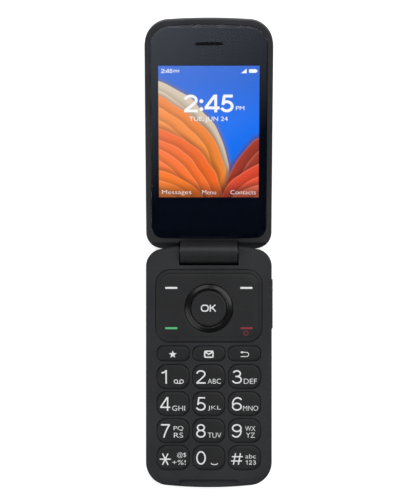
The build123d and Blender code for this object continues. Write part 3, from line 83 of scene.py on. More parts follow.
# ---------------------------------------------------------------- node graphs
class Graph:
    """Node tree of one material, with short ways to add nodes and join them."""

    def __init__(self, name: str) -> None:
        """Start an empty tree.

        Args:
            name: name of the material.
        """
        self.material = bpy.data.materials.new(name)
        self.material.use_nodes = True
        self.tree = self.material.node_tree
        self.tree.nodes.clear()

    def add(
        self, kind: str, inputs: dict[str | int, Value] | None = None, **settings: object
    ) -> bpy.types.Node:
        """Add a node, set its properties, and set or join its inputs.

        Args:
            kind: type of the node.
            inputs: value or output socket for each input, by name or index.
            **settings: properties of the node.

        Returns:
            The node.
        """
        node = self.tree.nodes.new(kind)
        for key, value in settings.items():
            setattr(node, key, value)
        for key, value in (inputs or {}).items():
            socket = node.inputs[key]
            if isinstance(value, bpy.types.NodeSocket):
                self.tree.links.new(value, socket)
            elif socket.type == "RGBA" and len(value) == 3:
                socket.default_value = (*value, 1.0)
            else:
                socket.default_value = value
        return node

    def place(self) -> Socket:
        """Object coordinates, in metres."""
        return self.add("ShaderNodeTexCoord").outputs["Object"]

    def uv(self) -> Socket:
        """The piece's own UV map."""
        return self.add("ShaderNodeTexCoord").outputs["UV"]

    def split(self, where: Socket) -> Sequence[Socket]:
        """The x, y and z of a vector."""
        return self.add("ShaderNodeSeparateXYZ", {"Vector": where}).outputs

    def stretched(self, where: Socket, scale: Sequence[float]) -> Socket:
        """Coordinates scaled by a factor for each axis."""
        return self.add("ShaderNodeMapping", {"Vector": where, "Scale": scale}).outputs[0]

    def maths(self, operation: str, *values: Value) -> Socket:
        """Result of a Math node on up to three values."""
        return self.add("ShaderNodeMath", dict(enumerate(values)), operation=operation).outputs[0]

    def vectors(self, operation: str, first: Value, second: Value, result: str = "Vector") -> Socket:
        """Result of a Vector Math node on two vectors."""
        return self.add("ShaderNodeVectorMath", {0: first, 1: second}, operation=operation).outputs[result]

    def noise(self, where: Socket, scale: float, detail: float = 3.0) -> Socket:
        """Fractal noise between 0 and 1 with about `scale` cells to the metre."""
        inputs = {"Vector": where, "Scale": scale, "Detail": detail}
        return self.add("ShaderNodeTexNoise", inputs).outputs["Fac"]

    def spread(self, value: Value, start: float, stop: float, low: float, high: float) -> Socket:
        """Carry start..stop smoothly to low..high, and hold the ends beyond."""
        inputs = {"Value": value, "From Min": start, "From Max": stop, "To Min": low, "To Max": high}
        return self.add("ShaderNodeMapRange", inputs, interpolation_type="SMOOTHSTEP").outputs["Result"]

    def blend(self, share: Value, under: Value, over: Value) -> Socket:
        """Mix two colours.

        Args:
            share: share of the second colour, from 0 to 1.
            under: the first colour.
            over: the second colour.

        Returns:
            The mixed colour.
        """
        node = self.add("ShaderNodeMix", data_type="RGBA")
        for index, value in ((MIX_SHARE, share), (MIX_UNDER, under), (MIX_OVER, over)):
            if isinstance(value, bpy.types.NodeSocket):
                self.tree.links.new(value, node.inputs[index])
            else:
                node.inputs[index].default_value = value if index == MIX_SHARE else (*value, 1.0)
        return node.outputs[MIX_RESULT]

    def bump(self, height: Socket, distance: float) -> Socket:
        """Normal bent by a height map whose full range is `distance` metres."""
        inputs = {"Height": height, "Distance": distance, "Strength": 1.0}
        return self.add("ShaderNodeBump", inputs).outputs["Normal"]

    def surface(self, **inputs: Value) -> bpy.types.Material:
        """Close the tree with a Principled surface.

        Args:
            **inputs: the shader's inputs, with _ for a space in their names.

        Returns:
            The finished material.
        """
        named = {key.replace("_", " "): value for key, value in inputs.items()}
        shader = self.add("ShaderNodeBsdfPrincipled", named)
        return self.close(shader.outputs[0])

    def close(self, shader: Socket) -> bpy.types.Material:
        """Join a shader to the output and hand the material over."""
        self.add("ShaderNodeOutputMaterial", {"Surface": shader})
        return self.material


def toned(colour: Colour, factor: float) -> Colour:
    """A colour made darker or lighter by a factor."""
    return tuple(channel * factor for channel in colour)


# ---------------------------------------------------------------- finishes
@dataclass(frozen=True)
class MouldedPlastic:
    """Plastic with the fine spark-eroded grain of its mould.

    The colour drifts by a few percent over centimetres. The grain is noise at `grain` cells to the
    metre, as deep as `depth` metres, and the gloss follows it: pits are duller than their lands.
    """

    name: str
    colour: Colour
    roughness: float = 0.45
    grain: float = 5200.0
    depth: float = 6e-6
    shine: float = 0.3
    drift: float = 0.1
    drift_scale: float = 60.0
    gloss_swing: float = 0.05

    def material(self) -> bpy.types.Material:
        """Build the finish.

        Returns:
            Its node material.
        """
        g = Graph(self.name)
        where = g.place()
        drift = g.spread(g.noise(where, self.drift_scale), 0.35, 0.65, 0.0, 1.0)
        grain = g.noise(where, self.grain, 2.0)
        dark, light = toned(self.colour, 1 - self.drift), toned(self.colour, 1 + self.drift)
        dull, bright = self.roughness + self.gloss_swing, self.roughness - self.gloss_swing
        return g.surface(
            Base_Color=g.blend(drift, dark, light),
            Roughness=g.spread(grain, 0.3, 0.7, dull, bright),
            Normal=g.bump(grain, self.depth),
            Specular_IOR_Level=self.shine,
        )


@dataclass(frozen=True)
class RibbedPlastic:
    """Plastic with fine slanted ribs crossing each other, as a grip.

    The height is the product of two sines over the sum and the difference of x and y, so that small
    diamonds stand between crossing valleys. The colour follows the height: painted shade darkens the
    valleys and a painted highlight lightens the diamonds.
    """

    name: str
    colour: Colour
    pitch: float = 0.9 * MM
    depth: float = 3e-5
    roughness: float = 0.5
    grain: float = 4000.0
    grain_depth: float = 4e-6
    # colour factors of the valleys and the diamonds: painted shade and painted highlight
    valley_shade: float = 0.8
    ridge_highlight: float = 1.15

    def material(self) -> bpy.types.Material:
        """Build the finish.

        Returns:
            Its node material.
        """
        g = Graph(self.name)
        parts = g.split(g.place())
        turn = 2 * math.pi / self.pitch
        along = g.maths("SINE", g.maths("MULTIPLY", g.maths("ADD", parts[0], parts[1]), turn))
        across = g.maths("SINE", g.maths("MULTIPLY", g.maths("SUBTRACT", parts[0], parts[1]), turn))
        height = g.spread(g.maths("MULTIPLY", along, across), -1.0, 1.0, 0.0, 1.0)
        fine = g.bump(g.noise(g.place(), self.grain, 2.0), self.grain_depth)
        normal = g.add("ShaderNodeBump", {"Height": height, "Distance": self.depth, "Normal": fine})
        return g.surface(
            # painted shade in the valleys, painted highlight on the diamonds
            Base_Color=g.blend(height, toned(self.colour, self.valley_shade), toned(self.colour, self.ridge_highlight)),
            Roughness=self.roughness,
            Normal=normal.outputs[0],
        )


@dataclass(frozen=True)
class GlossPlastic:
    """Polished plastic: nearly clean gloss with faint orange peel and a few smudges."""

    name: str
    colour: Colour
    roughness: float = 0.12
    shine: float = 0.6
    smudge: float = 0.06
    smudge_scale: float = 120.0
    peel_scale: float = 700.0
    peel_depth: float = 1.5e-6

    def material(self) -> bpy.types.Material:
        """Build the finish.

        Returns:
            Its node material.
        """
        g = Graph(self.name)
        where = g.place()
        smudges = g.noise(where, self.smudge_scale, 4.0)
        return g.surface(
            Base_Color=self.colour,
            Roughness=g.spread(smudges, 0.45, 0.75, self.roughness, self.roughness + self.smudge),
            Specular_IOR_Level=self.shine,
            Normal=g.bump(g.noise(where, self.peel_scale, 1.0), self.peel_depth),
        )


@dataclass(frozen=True)
class ClearGlass:
    """Clear hard window, with the faint smudges of use in its gloss."""

    name: str
    tint: Colour = (0.97, 0.98, 1.0)
    ior: float = 1.5
    smudge: float = 0.015
    smudge_scale: float = 90.0

    def material(self) -> bpy.types.Material:
        """Build the finish.

        Returns:
            Its node material.
        """
        g = Graph(self.name)
        smudge = g.spread(g.noise(g.place(), self.smudge_scale, 4.0), 0.5, 0.8, 0.0, self.smudge)
        return g.surface(Base_Color=self.tint, Roughness=smudge, IOR=self.ior, Transmission_Weight=1.0)


@dataclass(frozen=True)
class Ink:
    """Printed ink: an even colour, slightly darker in fine spots."""

    name: str
    colour: Colour
    roughness: float = 0.5
    shine: float = 0.4
    thin: float = 0.93
    spot_scale: float = 9000.0

    def material(self) -> bpy.types.Material:
        """Build the finish.

        Returns:
            Its node material.
        """
        g = Graph(self.name)
        spot = g.spread(g.noise(g.place(), self.spot_scale, 2.0), 0.3, 0.7, 0.0, 1.0)
        return g.surface(
            Base_Color=g.blend(spot, toned(self.colour, self.thin), self.colour),
            Roughness=self.roughness,
            Specular_IOR_Level=self.shine,
        )


@dataclass(frozen=True)
class Metal:
    """Rolled, plated or turned metal with fine drawn lines across one direction."""

    name: str
    colour: Colour
    roughness: float = 0.3
    stretch: tuple[float, float, float] = (1.0, 14.0, 14.0)
    line_scale: float = 900.0
    line_depth: float = 2e-6
    line_tone: float = 0.85

    def material(self) -> bpy.types.Material:
        """Build the finish.

        Returns:
            Its node material.
        """
        g = Graph(self.name)
        lines = g.noise(g.stretched(g.place(), self.stretch), self.line_scale, 3.0)
        return g.surface(
            Base_Color=g.blend(lines, toned(self.colour, self.line_tone), self.colour),
            Metallic=1.0,
            Roughness=g.spread(lines, 0.3, 0.7, self.roughness - 0.06, self.roughness + 0.08),
            Normal=g.bump(lines, self.line_depth),
        )


@dataclass(frozen=True)
class Board:
    """Circuit board: solder mask over copper runs that turn square corners, with bare gold pads.

    The runs follow lines of equal distance from scattered points, and a pad lies round each point.
    """

    name: str
    mask: Colour = (0.008, 0.05, 0.022)
    copper: Colour = (0.02, 0.09, 0.035)
    gold: Colour = (0.75, 0.52, 0.2)
    scale: float = 420.0
    scatter: float = 0.55
    run_pitch: float = 0.16
    run_rise: float = 2e-5

    def material(self) -> bpy.types.Material:
        """Build the finish.

        Returns:
            Its node material.
        """
        g = Graph(self.name)
        inputs = {"Vector": g.place(), "Scale": self.scale, "Randomness": self.scatter}
        cells = g.add("ShaderNodeTexVoronoi", inputs, distance="CHEBYCHEV", feature="F1")
        away = cells.outputs["Distance"]
        run = g.spread(g.maths("PINGPONG", away, self.run_pitch), 0.05, 0.09, 0.0, 1.0)
        pad = g.spread(away, 0.06, 0.08, 1.0, 0.0)
        return g.surface(
            Base_Color=g.blend(pad, g.blend(run, self.mask, self.copper), self.gold),
            Metallic=pad,
            Roughness=g.spread(pad, 0.0, 1.0, 0.35, 0.25),
            Normal=g.bump(run, self.run_rise),
        )


@dataclass(frozen=True)
class Film:
    """Thin foil or rubber: a soft surface with long shallow creases."""

    name: str
    colour: Colour
    roughness: float = 0.5
    metallic: float = 0.0
    tone: float = 0.88
    tone_scale: float = 300.0
    crease_stretch: tuple[float, float, float] = (1.0, 2.5, 1.0)
    crease_scale: float = 180.0
    crease_depth: float = 3e-5

    def material(self) -> bpy.types.Material:
        """Build the finish.

        Returns:
            Its node material.
        """
        g = Graph(self.name)
        where = g.place()
        crease = g.noise(g.stretched(where, self.crease_stretch), self.crease_scale)
        return g.surface(
            Base_Color=g.blend(g.noise(where, self.tone_scale), toned(self.colour, self.tone), self.colour),
            Metallic=self.metallic,
            Roughness=self.roughness,
            Normal=g.bump(crease, self.crease_depth),
        )


@dataclass(frozen=True)
class WovenMesh:
    """Fine black cloth: over and under threads as the larger of two sine waves that swap places."""

    name: str
    colour: Colour = (0.006, 0.006, 0.0065)
    gap: Colour = (0.001, 0.001, 0.001)
    pitch: float = 0.25 * MM
    thread_rise: float = 4e-5
    roughness: float = 0.8
    shine: float = 0.1

    def material(self) -> bpy.types.Material:
        """Build the finish.

        Returns:
            Its node material.
        """
        g = Graph(self.name)
        parts = g.split(g.place())
        turn = math.pi / self.pitch
        x, y = (g.maths("MULTIPLY", parts[i], turn) for i in (0, 1))
        warp = g.maths("MULTIPLY", g.maths("ABSOLUTE", g.maths("SINE", x)), g.maths("COSINE", y))
        weft = g.maths("MULTIPLY", g.maths("ABSOLUTE", g.maths("SINE", y)), g.maths("COSINE", x))
        height = g.maths("MAXIMUM", g.maths("ABSOLUTE", warp), g.maths("ABSOLUTE", weft))
        thread = g.spread(height, 0.1, 0.45, 0.0, 1.0)
        return g.surface(
            Base_Color=g.blend(thread, self.gap, self.colour),
            Roughness=self.roughness,
            Specular_IOR_Level=self.shine,
            Normal=g.bump(height, self.thread_rise),
        )


@dataclass(frozen=True)
class LitText:
    """Lit picture elements of the screen's own signs, nearly steady over the whole stroke."""

    name: str
    colour: Colour = (1.0, 1.0, 1.0)
    strength: float = 1.0
    least: float = 0.97
    cell_scale: float = 8000.0

    def material(self) -> bpy.types.Material:
        """Build the finish.

        Returns:
            Its node material.
        """
        g = Graph(self.name)
        glow = g.spread(g.noise(g.place(), self.cell_scale, 1.0), 0.2, 0.8, self.least, 1.0)
        return g.surface(
            Base_Color=(0.0, 0.0, 0.0),
            Roughness=0.6,
            Emission_Color=g.blend(glow, (0.0, 0.0, 0.0), self.colour),
            Emission_Strength=self.strength,
        )


@dataclass(frozen=True)
class PaperDisc:
    """One round sheet of the wallpaper: its centre and radius in picture millimetres, and its colour."""

    x: float
    y: float
    radius: float
    colour: Colour


@dataclass(frozen=True)
class LitPicture:
    """Wallpaper of round coloured sheets lying on each other, each casting a soft shade on those below.

    For each sheet the distance from its rim is worked out from the picture's own UV map. Inside the
    rim its colour covers what is below. Just outside, the colour below is dimmed, and the dimming
    fades out over the shade's reach. Inside, the distance from the rim is cut into steps: each step is
    lit just past its own rim and dimmed towards the next one. A slow noise bends all the rims. A veil
    darkens the picture's foot, so that the words on it can be read.
    """

    name: str
    width: float
    height: float
    ground: Colour
    discs: tuple[PaperDisc, ...]
    strength: float = 1.08
    deep_ground: float = 0.72
    bend: float = 5.0
    bend_scale: float = 0.055
    rim_blur: tuple[float, float] = (-0.12, 0.06)
    shade: float = 0.55
    shade_reach: float = 2.6
    shade_tone: float = 0.25
    step: float = 4.6
    step_turn: float = 0.37
    step_lift: tuple[float, float] = (1.3, 0.012)
    lit_rim: Colour = (1.0, 0.62, 0.3)
    lit_share: float = 0.14
    lit_end: float = 0.25
    dusk_share: float = 0.42
    dusk_start: float = 0.35
    dusk_tone: float = 0.35
    veil_colour: Colour = (0.02, 0.004, 0.002)
    veil_share: float = 0.6
    veil_from: float = 1.0
    veil_to: float = 8.0

    def bent(self, g: Graph, flat: Socket) -> Socket:
        """Picture coordinates moved about by a slow noise.

        Args:
            g: the material's graph.
            flat: picture coordinates in millimetres.

        Returns:
            The bent coordinates.
        """
        inputs = {"Vector": flat, "Scale": self.bend_scale, "Detail": 1.0}
        drift = g.add("ShaderNodeTexNoise", inputs).outputs["Color"]
        centred = g.vectors("SUBTRACT", drift, (0.5, 0.5, 0.5))
        return g.vectors("ADD", flat, g.vectors("MULTIPLY", centred, (self.bend, self.bend, 0.0)))

    def laid(self, g: Graph, below: Socket, where: Socket, sheet: PaperDisc) -> Socket:
        """Lay one sheet over the colour below.

        Args:
            g: the material's graph.
            below: colour of all that lies below.
            where: the bent coordinates.
            sheet: the sheet.

        Returns:
            The colour with the sheet and its shade.
        """
        away = g.vectors("DISTANCE", where, (sheet.x, sheet.y, 0.0), "Value")
        rim = g.maths("SUBTRACT", away, sheet.radius)
        shade = g.spread(rim, 0.0, self.shade_reach, self.shade, 0.0)
        below = g.blend(shade, below, toned(sheet.colour, self.shade_tone))
        depth = g.maths("MULTIPLY", rim, -1.0 / self.step)
        phase, level = g.maths("FRACT", depth), g.maths("FLOOR", depth)
        gain, base = self.step_lift
        lifted = tuple(min(1.0, channel * gain + base) for channel in sheet.colour)
        swing = g.maths("PINGPONG", g.maths("MULTIPLY", level, self.step_turn), 1.0)
        body = g.blend(swing, sheet.colour, lifted)
        body = g.blend(g.spread(phase, 0.0, self.lit_end, self.lit_share, 0.0), body, self.lit_rim)
        dusk = g.spread(phase, self.dusk_start, 1.0, 0.0, self.dusk_share)
        body = g.blend(dusk, body, toned(sheet.colour, self.dusk_tone))
        return g.blend(g.spread(rim, *self.rim_blur, 1.0, 0.0), below, body)

    def material(self) -> bpy.types.Material:
        """Build the finish.

        Returns:
            Its node material.
        """
        g = Graph(self.name)
        flat = g.vectors("MULTIPLY", g.uv(), (self.width, self.height, 0.0))
        rise = g.split(flat)[1]
        where = self.bent(g, flat)
        climb = g.spread(rise, self.height * 0.5, self.height, 0.0, 1.0)
        colour = g.blend(climb, self.ground, toned(self.ground, self.deep_ground))
        for sheet in self.discs:
            colour = self.laid(g, colour, where, sheet)
        veil = g.spread(rise, self.veil_from, self.veil_to, self.veil_share, 0.0)
        return g.surface(
            Base_Color=(0.0, 0.0, 0.0),
            Roughness=0.6,
            Emission_Color=g.blend(veil, colour, self.veil_colour),
            Emission_Strength=self.strength,
        )


@lru_cache(maxsize=None)
def dressed(finish: object) -> bpy.types.Material:
    """The material of a finish, built once."""
    return finish.material()


def linear(red: int, green: int, blue: int) -> Colour:
    """Scene colour of a display colour.

    Up to 0.04045 the display curve is a straight line, and above it a power of 2.4.

    Args:
        red: red channel, 0 to 255.
        green: green channel.
        blue: blue channel.

    Returns:
        The colour in scene light.
    """
    values = np.array((red, green, blue)) / 255
    out = np.where(values <= 0.04045, values / 12.92, ((values + 0.055) / 1.055) ** 2.4)
    return tuple(float(v) for v in out)


SKY = linear(0, 110, 238)
WALLPAPER: tuple[PaperDisc, ...] = (
    PaperDisc(-16.0, 9.0, 46.0, linear(214, 196, 170)),
    PaperDisc(-16.0, 2.0, 45.5, linear(240, 132, 44)),
    PaperDisc(56.0, 2.0, 27.0, linear(160, 50, 34)),
    PaperDisc(-12.0, -8.0, 41.0, linear(240, 104, 30)),
    PaperDisc(51.0, -8.0, 24.5, linear(222, 70, 42)),
    PaperDisc(50.0, -16.0, 23.5, linear(240, 108, 78)),
    PaperDisc(-6.0, -18.0, 31.0, linear(248, 122, 34)),
)


class Finish(Enum):
    """The finishes of the phone's pieces. Colours are written in scene light."""

    HOUSING = MouldedPlastic("housing_matt", (0.0292, 0.0299, 0.0322), 0.6, shine=0.12)
    LID_BACK = MouldedPlastic("lid_back_satin", (0.0128, 0.0131, 0.0142), 0.42, shine=0.38)
    COVER = RibbedPlastic("cover_diamond_grip", (0.017, 0.0175, 0.019))
    KEY = MouldedPlastic("key_matt", (0.0140, 0.0142, 0.0152), 0.55, 6500.0, 5e-6, 0.25)
    PANEL = MouldedPlastic("panel_matt", (0.0150, 0.0153, 0.0163), 0.52, 6500.0, 5e-6, 0.25)
    ROUND_KEY = MouldedPlastic("round_key_matt", (0.0138, 0.0140, 0.0150), 0.55, 6500.0, 5e-6, 0.25)
    SIDE_KEY = MouldedPlastic("side_key_satin", (0.012, 0.012, 0.013), 0.4)
    RING = GlossPlastic("ring_gloss", (0.0055, 0.0055, 0.006), 0.2, 0.22)
    GLOSS = GlossPlastic("gloss_black", (0.005, 0.005, 0.006), 0.1)
    GLASS = ClearGlass("clear_window")
    # dark border print, with a blue tint and lift that paint the window's dim bluish reflection
    MASK = Ink("window_border", (0.0068, 0.0108, 0.0220), 0.6, 0.0)
    OUTER_MASK = Ink("outer_window_border", (0.0045, 0.0048, 0.0056), 0.6, 0.0)
    WHITE = Ink("legend_white", (0.85, 0.855, 0.86))
    GREEN = Ink("legend_green", (0.11, 0.56, 0.23))
    RED = Ink("legend_red", (0.30, 0.022, 0.035))
    SILICONE = Film("silicone_grey", (0.16, 0.16, 0.17), 0.65)
    RUBBER = Film("rubber_black", (0.012, 0.012, 0.013), 0.7)
    FILM = Film("amber_film", (0.55, 0.26, 0.06), 0.3)
    FOIL = Film("wrapped_cell", (0.32, 0.33, 0.35), 0.35, 0.8)
    DARK_PLASTIC = MouldedPlastic("plain_black", (0.012, 0.012, 0.012), 0.5)
    STEEL = Metal("steel", (0.56, 0.57, 0.58), 0.28)
    TINNED = Metal("tinned_can", (0.62, 0.63, 0.64), 0.36)
    DARK_METAL = Metal("dark_steel", (0.11, 0.11, 0.115), 0.38)
    BRASS = Metal("gold_contact", (0.83, 0.62, 0.28), 0.24)
    BOARD = Board("circuit_board")
    CLOTH = WovenMesh("earpiece_cloth")
    DARK_SCREEN = GlossPlastic("dark_screen", (0.006, 0.007, 0.009), 0.2)
    LAMP = Film("flash_phosphor", (0.75, 0.62, 0.2), 0.3)

    def material(self) -> bpy.types.Material:
        """The finish as a node material."""
        return dressed(self.value)


# ---------------------------------------------------------------- shapes as arrays
def grid_quads(rows: int, columns: int, wrap_rows: bool = False, wrap_columns: bool = False) -> np.ndarray:
    """Quads of a grid of points, listed along the columns and then up the rows.

    Args:
        rows: number of rows.
        columns: number of points in a row.
        wrap_rows: join the last row to the first.
        wrap_columns: join each row's last point to its first.

    Returns:
        Array of four point numbers to the quad.
    """
    row = np.arange(rows if wrap_rows else rows - 1)
    column = np.arange(columns if wrap_columns else columns - 1)
    i, j = np.meshgrid(row, column, indexing="ij")
    i_next, j_next = (i + 1) % rows, (j + 1) % columns
    corners = (i * columns + j, i * columns + j_next, i_next * columns + j_next, i_next * columns + j)
    return np.stack(corners, axis=-1).reshape(-1, 4)


@dataclass
class Shape:
    """Points in millimetres and faces by point number."""

    points: np.ndarray
    faces: list[list[int]]

    def moved(self, x: float = 0.0, y: float = 0.0, z: float = 0.0) -> "Shape":
        """The shape carried by an offset."""
        return Shape(self.points + np.array((x, y, z)), self.faces)

    @staticmethod
    def joined(shapes: Sequence["Shape"]) -> "Shape":
        """Several shapes as one.

        Args:
            shapes: the shapes to put together.

        Returns:
            One shape that holds all of them.
        """
        starts = np.cumsum([0] + [len(s.points) for s in shapes[:-1]])
        faces = [[n + int(start) for n in face] for s, start in zip(shapes, starts) for face in s.faces]
        return Shape(np.concatenate([s.points for s in shapes]), faces)


def capped_rings(rings: np.ndarray, low_pole: np.ndarray, high_pole: np.ndarray) -> Shape:
    """Closed skin over rings that run counterclockwise and climb, shut by a fan at each pole.

    Args:
        rings: points as (ring, point, xyz).
        low_pole: point that closes the first ring.
        high_pole: point that closes the last ring.

    Returns:
        The closed shape.
    """
    rows, count = rings.shape[:2]
    points = np.concatenate([rings.reshape(-1, 3), [low_pole], [high_pole]])
    here = np.arange(count)
    there = (here + 1) % count
    low, high = rows * count, rows * count + 1
    last = (rows - 1) * count
    faces = grid_quads(rows, count, wrap_columns=True).tolist()
    faces += np.stack([there, here, np.full(count, low)], axis=-1).tolist()
    faces += np.stack([last + here, last + there, np.full(count, high)], axis=-1).tolist()
    return Shape(points, faces)


def carried_profile(sections: np.ndarray) -> Shape:
    """Closed solid swept by a closed profile, with flat ends.

    Args:
        sections: points as (section, point of the profile, xyz). Seen from ahead of the path's start,
            looking along the path, the profile runs clockwise.

    Returns:
        The closed shape.
    """
    rows, count = sections.shape[:2]
    faces = grid_quads(rows, count, wrap_columns=True)[:, ::-1].tolist()
    faces.append(list(range(count)))
    faces.append(list(range(rows * count - 1, (rows - 1) * count - 1, -1)))
    return Shape(sections.reshape(-1, 3), faces)


def turned(profile: Sequence[tuple[float, float]], count: int = 96, closed: bool = False) -> Shape:
    """Solid of revolution about Z.

    A point (r, z) of the profile goes to (r cos a, r sin a, z) for every angle a of the circle.

    Args:
        profile: radius and height of each point; outside going up comes first.
        count: steps round the circle.
        closed: the profile is a loop off the axis, so the solid is a ring.

    Returns:
        The closed shape.
    """
    r, z = np.array(profile, float).T
    angle = np.linspace(0, 2 * math.pi, count, endpoint=False)
    x, y = r[:, None] * np.cos(angle), r[:, None] * np.sin(angle)
    rings = np.stack([x, y, np.repeat(z[:, None], count, axis=1)], axis=-1)
    if closed:
        return Shape(rings.reshape(-1, 3), grid_quads(len(r), count, True, True).tolist())
    return capped_rings(rings, np.array((0, 0, z[0])), np.array((0, 0, z[-1])))


def quarter_round(width: float, low: float, high: float, steps: int = 8) -> list[tuple[float, float]]:
    """Stations of a rounded edge: inset and height along a quarter of an ellipse.

    The inset is width (1 - cos t) and the height low + (high - low) sin t, for t from 0 to 90 degrees.

    Args:
        width: inset of the last station.
        low: height of the first station.
        high: height of the last station.
        steps: number of stations.

    Returns:
        Inset and height of each station.
    """
    t = np.linspace(0, math.pi / 2, steps)
    inset, height = width * (1 - np.cos(t)), low + (high - low) * np.sin(t)
    return list(zip(inset.tolist(), height.tolist()))


def rounded_outline(
    half_x: float, half_y: float, corner: float, bulge: float = 0.0, side: int = 10, bend: int = 14
) -> tuple[np.ndarray, np.ndarray]:
    """Rectangle with round corners whose sides bow out, counterclockwise.

    The straight-sided outline is worked out first. Then each point moves out by
    bulge (x / a) (1 - (y / b) squared) across, and by the same with x and y swapped along, where a
    and b are the half sizes, so that a side's middle moves by the full bulge and a corner hardly.

    Args:
        half_x: half of the width, bulge included.
        half_y: half of the height, bulge included.
        corner: radius of the corners.
        bulge: rise of the sides.
        side: points along each side.
        bend: points round each corner.

    Returns:
        Points and outward normals, each as (point, xy).
    """
    a, b = half_x - bulge, half_y - bulge
    angle = np.linspace(0, math.pi / 2, bend)
    arc = np.stack([np.cos(angle), np.sin(angle)], axis=-1) * corner
    pieces = []
    for turn, (sx, sy) in enumerate(((1, 1), (-1, 1), (-1, -1), (1, -1))):
        c, s = math.cos(turn * math.pi / 2), math.sin(turn * math.pi / 2)
        pieces.append(arc @ np.array([[c, s], [-s, c]]) + np.array((sx * (a - corner), sy * (b - corner))))
    path = []
    for index, piece in enumerate(pieces):
        following = pieces[(index + 1) % 4][0]
        share = np.linspace(0, 1, side + 1)[1:-1, None]
        path += [piece, piece[-1] * (1 - share) + following * share]
    p = np.concatenate(path)
    x, y = p[:, 0], p[:, 1]
    shift = np.stack([x / a * (1 - (y / b) ** 2), y / b * (1 - (x / a) ** 2)], axis=-1)
    p = p + bulge * shift
    tangent = np.roll(p, -1, axis=0) - np.roll(p, 1, axis=0)
    tangent /= np.linalg.norm(tangent, axis=1, keepdims=True)
    return p, np.stack([tangent[:, 1], -tangent[:, 0]], axis=-1)


def lofted_cap(
    outline: tuple[np.ndarray, np.ndarray], stations: Sequence[tuple[float, float]], crown: float
) -> Shape:
    """Keycap: rings inset from an outline, then a low crown shrinking to its middle.

    A ring at inset d is outline - d normal. Past the last station the ring shrinks by s towards the
    middle, and its height is top + crown (1 - s squared).

    Args:
        outline: points and outward normals.
        stations: inset and height of each ring, from the bottom up.
        crown: rise of the middle above the last station.

    Returns:
        The closed shape.
    """
    p, normal = outline
    inset = np.array([s[0] for s in stations])[:, None, None]
    flat = p[None] - inset * normal[None]
    height = np.broadcast_to(np.array([s[1] for s in stations])[:, None, None], (*flat.shape[:2], 1))
    rings = np.concatenate([flat, height], axis=-1)
    shrink = np.array(CROWN_SHARES)[:, None, None]
    top = stations[-1][1]
    climb = np.broadcast_to(top + crown * (1 - shrink**2), (len(shrink), len(p), 1))
    inner = np.concatenate([flat[-1][None] * shrink, climb], axis=-1)
    rings = np.concatenate([rings, inner])
    return capped_rings(rings, np.array((0, 0, stations[0][1])), np.array((0, 0, top + crown)))


def thickened(flat: np.ndarray, triangles: np.ndarray, low: float, high: float) -> Shape:
    """Plate with the given triangles as its top, the same turned over as its bottom, and walls between.

    A wall stands on every directed edge whose opposite doesn't occur, which is the plate's border.

    Args:
        flat: points as (point, xy).
        triangles: point numbers of each triangle, counterclockwise.
        low: height of the bottom.
        high: height of the top.

    Returns:
        The closed shape.
    """
    count = len(flat)
    points = np.concatenate(
        [np.column_stack([flat, np.full(count, high)]), np.column_stack([flat, np.full(count, low)])]
    )
    edges = np.concatenate([triangles[:, [0, 1]], triangles[:, [1, 2]], triangles[:, [2, 0]]])
    key, opposite = edges[:, 0] * count + edges[:, 1], edges[:, 1] * count + edges[:, 0]
    border = edges[~np.isin(key, opposite)]
    walls = np.column_stack([border[:, 0], border[:, 0] + count, border[:, 1] + count, border[:, 1]])
    faces = triangles.tolist() + (triangles[:, ::-1] + count).tolist() + walls.tolist()
    return Shape(points, faces)


def facing_up(flat: np.ndarray, triangles: np.ndarray) -> np.ndarray:
    """The triangles with those that run clockwise turned round, and those without area left out.

    Args:
        flat: points as (point, xy).
        triangles: point numbers of each triangle.

    Returns:
        The triangles that are left.
    """
    a, b, c = (flat[triangles[:, i]] for i in range(3))
    area = (b[:, 0] - a[:, 0]) * (c[:, 1] - a[:, 1]) - (b[:, 1] - a[:, 1]) * (c[:, 0] - a[:, 0])
    triangles = np.where((area < 0)[:, None], triangles[:, ::-1], triangles)
    return triangles[np.abs(area) > LEAST_AREA]


def plate(outlines: Sequence[np.ndarray], low: float, high: float) -> Shape:
    """Flat plate with an outer outline and holes.

    Args:
        outlines: the outer outline first, then its holes, each as (point, xy).
        low: height of the bottom.
        high: height of the top.

    Returns:
        The closed shape.
    """
    loops = [[(float(x), float(y), 0.0) for x, y in loop] for loop in outlines]
    flat = np.concatenate(outlines)
    triangles = np.array(tessellate_polygon(loops))
    return thickened(flat, facing_up(flat, triangles), low, high)


def stacked(plates: Sequence[Sequence[np.ndarray]], low: float, high: float) -> Shape:
    """Plates that may cross each other, each a small step higher than the one before."""
    return Shape.joined([plate(outlines, low, high + PLATE_STEP * i) for i, outlines in enumerate(plates)])


def disc(radius: float, x: float = 0.0, y: float = 0.0, count: int = 40) -> np.ndarray:
    """Circle as (point, xy)."""
    angle = np.linspace(0, 2 * math.pi, count, endpoint=False)
    return np.column_stack([x + radius * np.cos(angle), y + radius * np.sin(angle)])


def arc(
    radius: float, start: float, stop: float, x: float = 0.0, y: float = 0.0, count: int = 24
) -> np.ndarray:
    """Arc between two angles in degrees, as (point, xy)."""
    angle = np.radians(np.linspace(start, stop, count))
    return np.column_stack([x + radius * np.cos(angle), y + radius * np.sin(angle)])


def stroke(path: np.ndarray | Sequence[tuple[float, float]], width: float) -> np.ndarray:
    """Outline of a pen line along a path.

    Each point moves half the width to the left and to the right of the path's direction there.

    Args:
        path: points as (point, xy).
        width: width of the line.

    Returns:
        Outline as (point, xy).
    """
    path = np.asarray(path, float)
    ahead = np.gradient(path, axis=0)
    ahead /= np.linalg.norm(ahead, axis=1, keepdims=True)
    aside = np.column_stack([-ahead[:, 1], ahead[:, 0]]) * width / 2
    return np.concatenate([path - aside, (path + aside)[::-1]])


def lifted(row: np.ndarray, height: float) -> np.ndarray:
    """Flat points put at a height, as (point, xyz)."""
    return np.column_stack([row, np.full(len(row), height)])


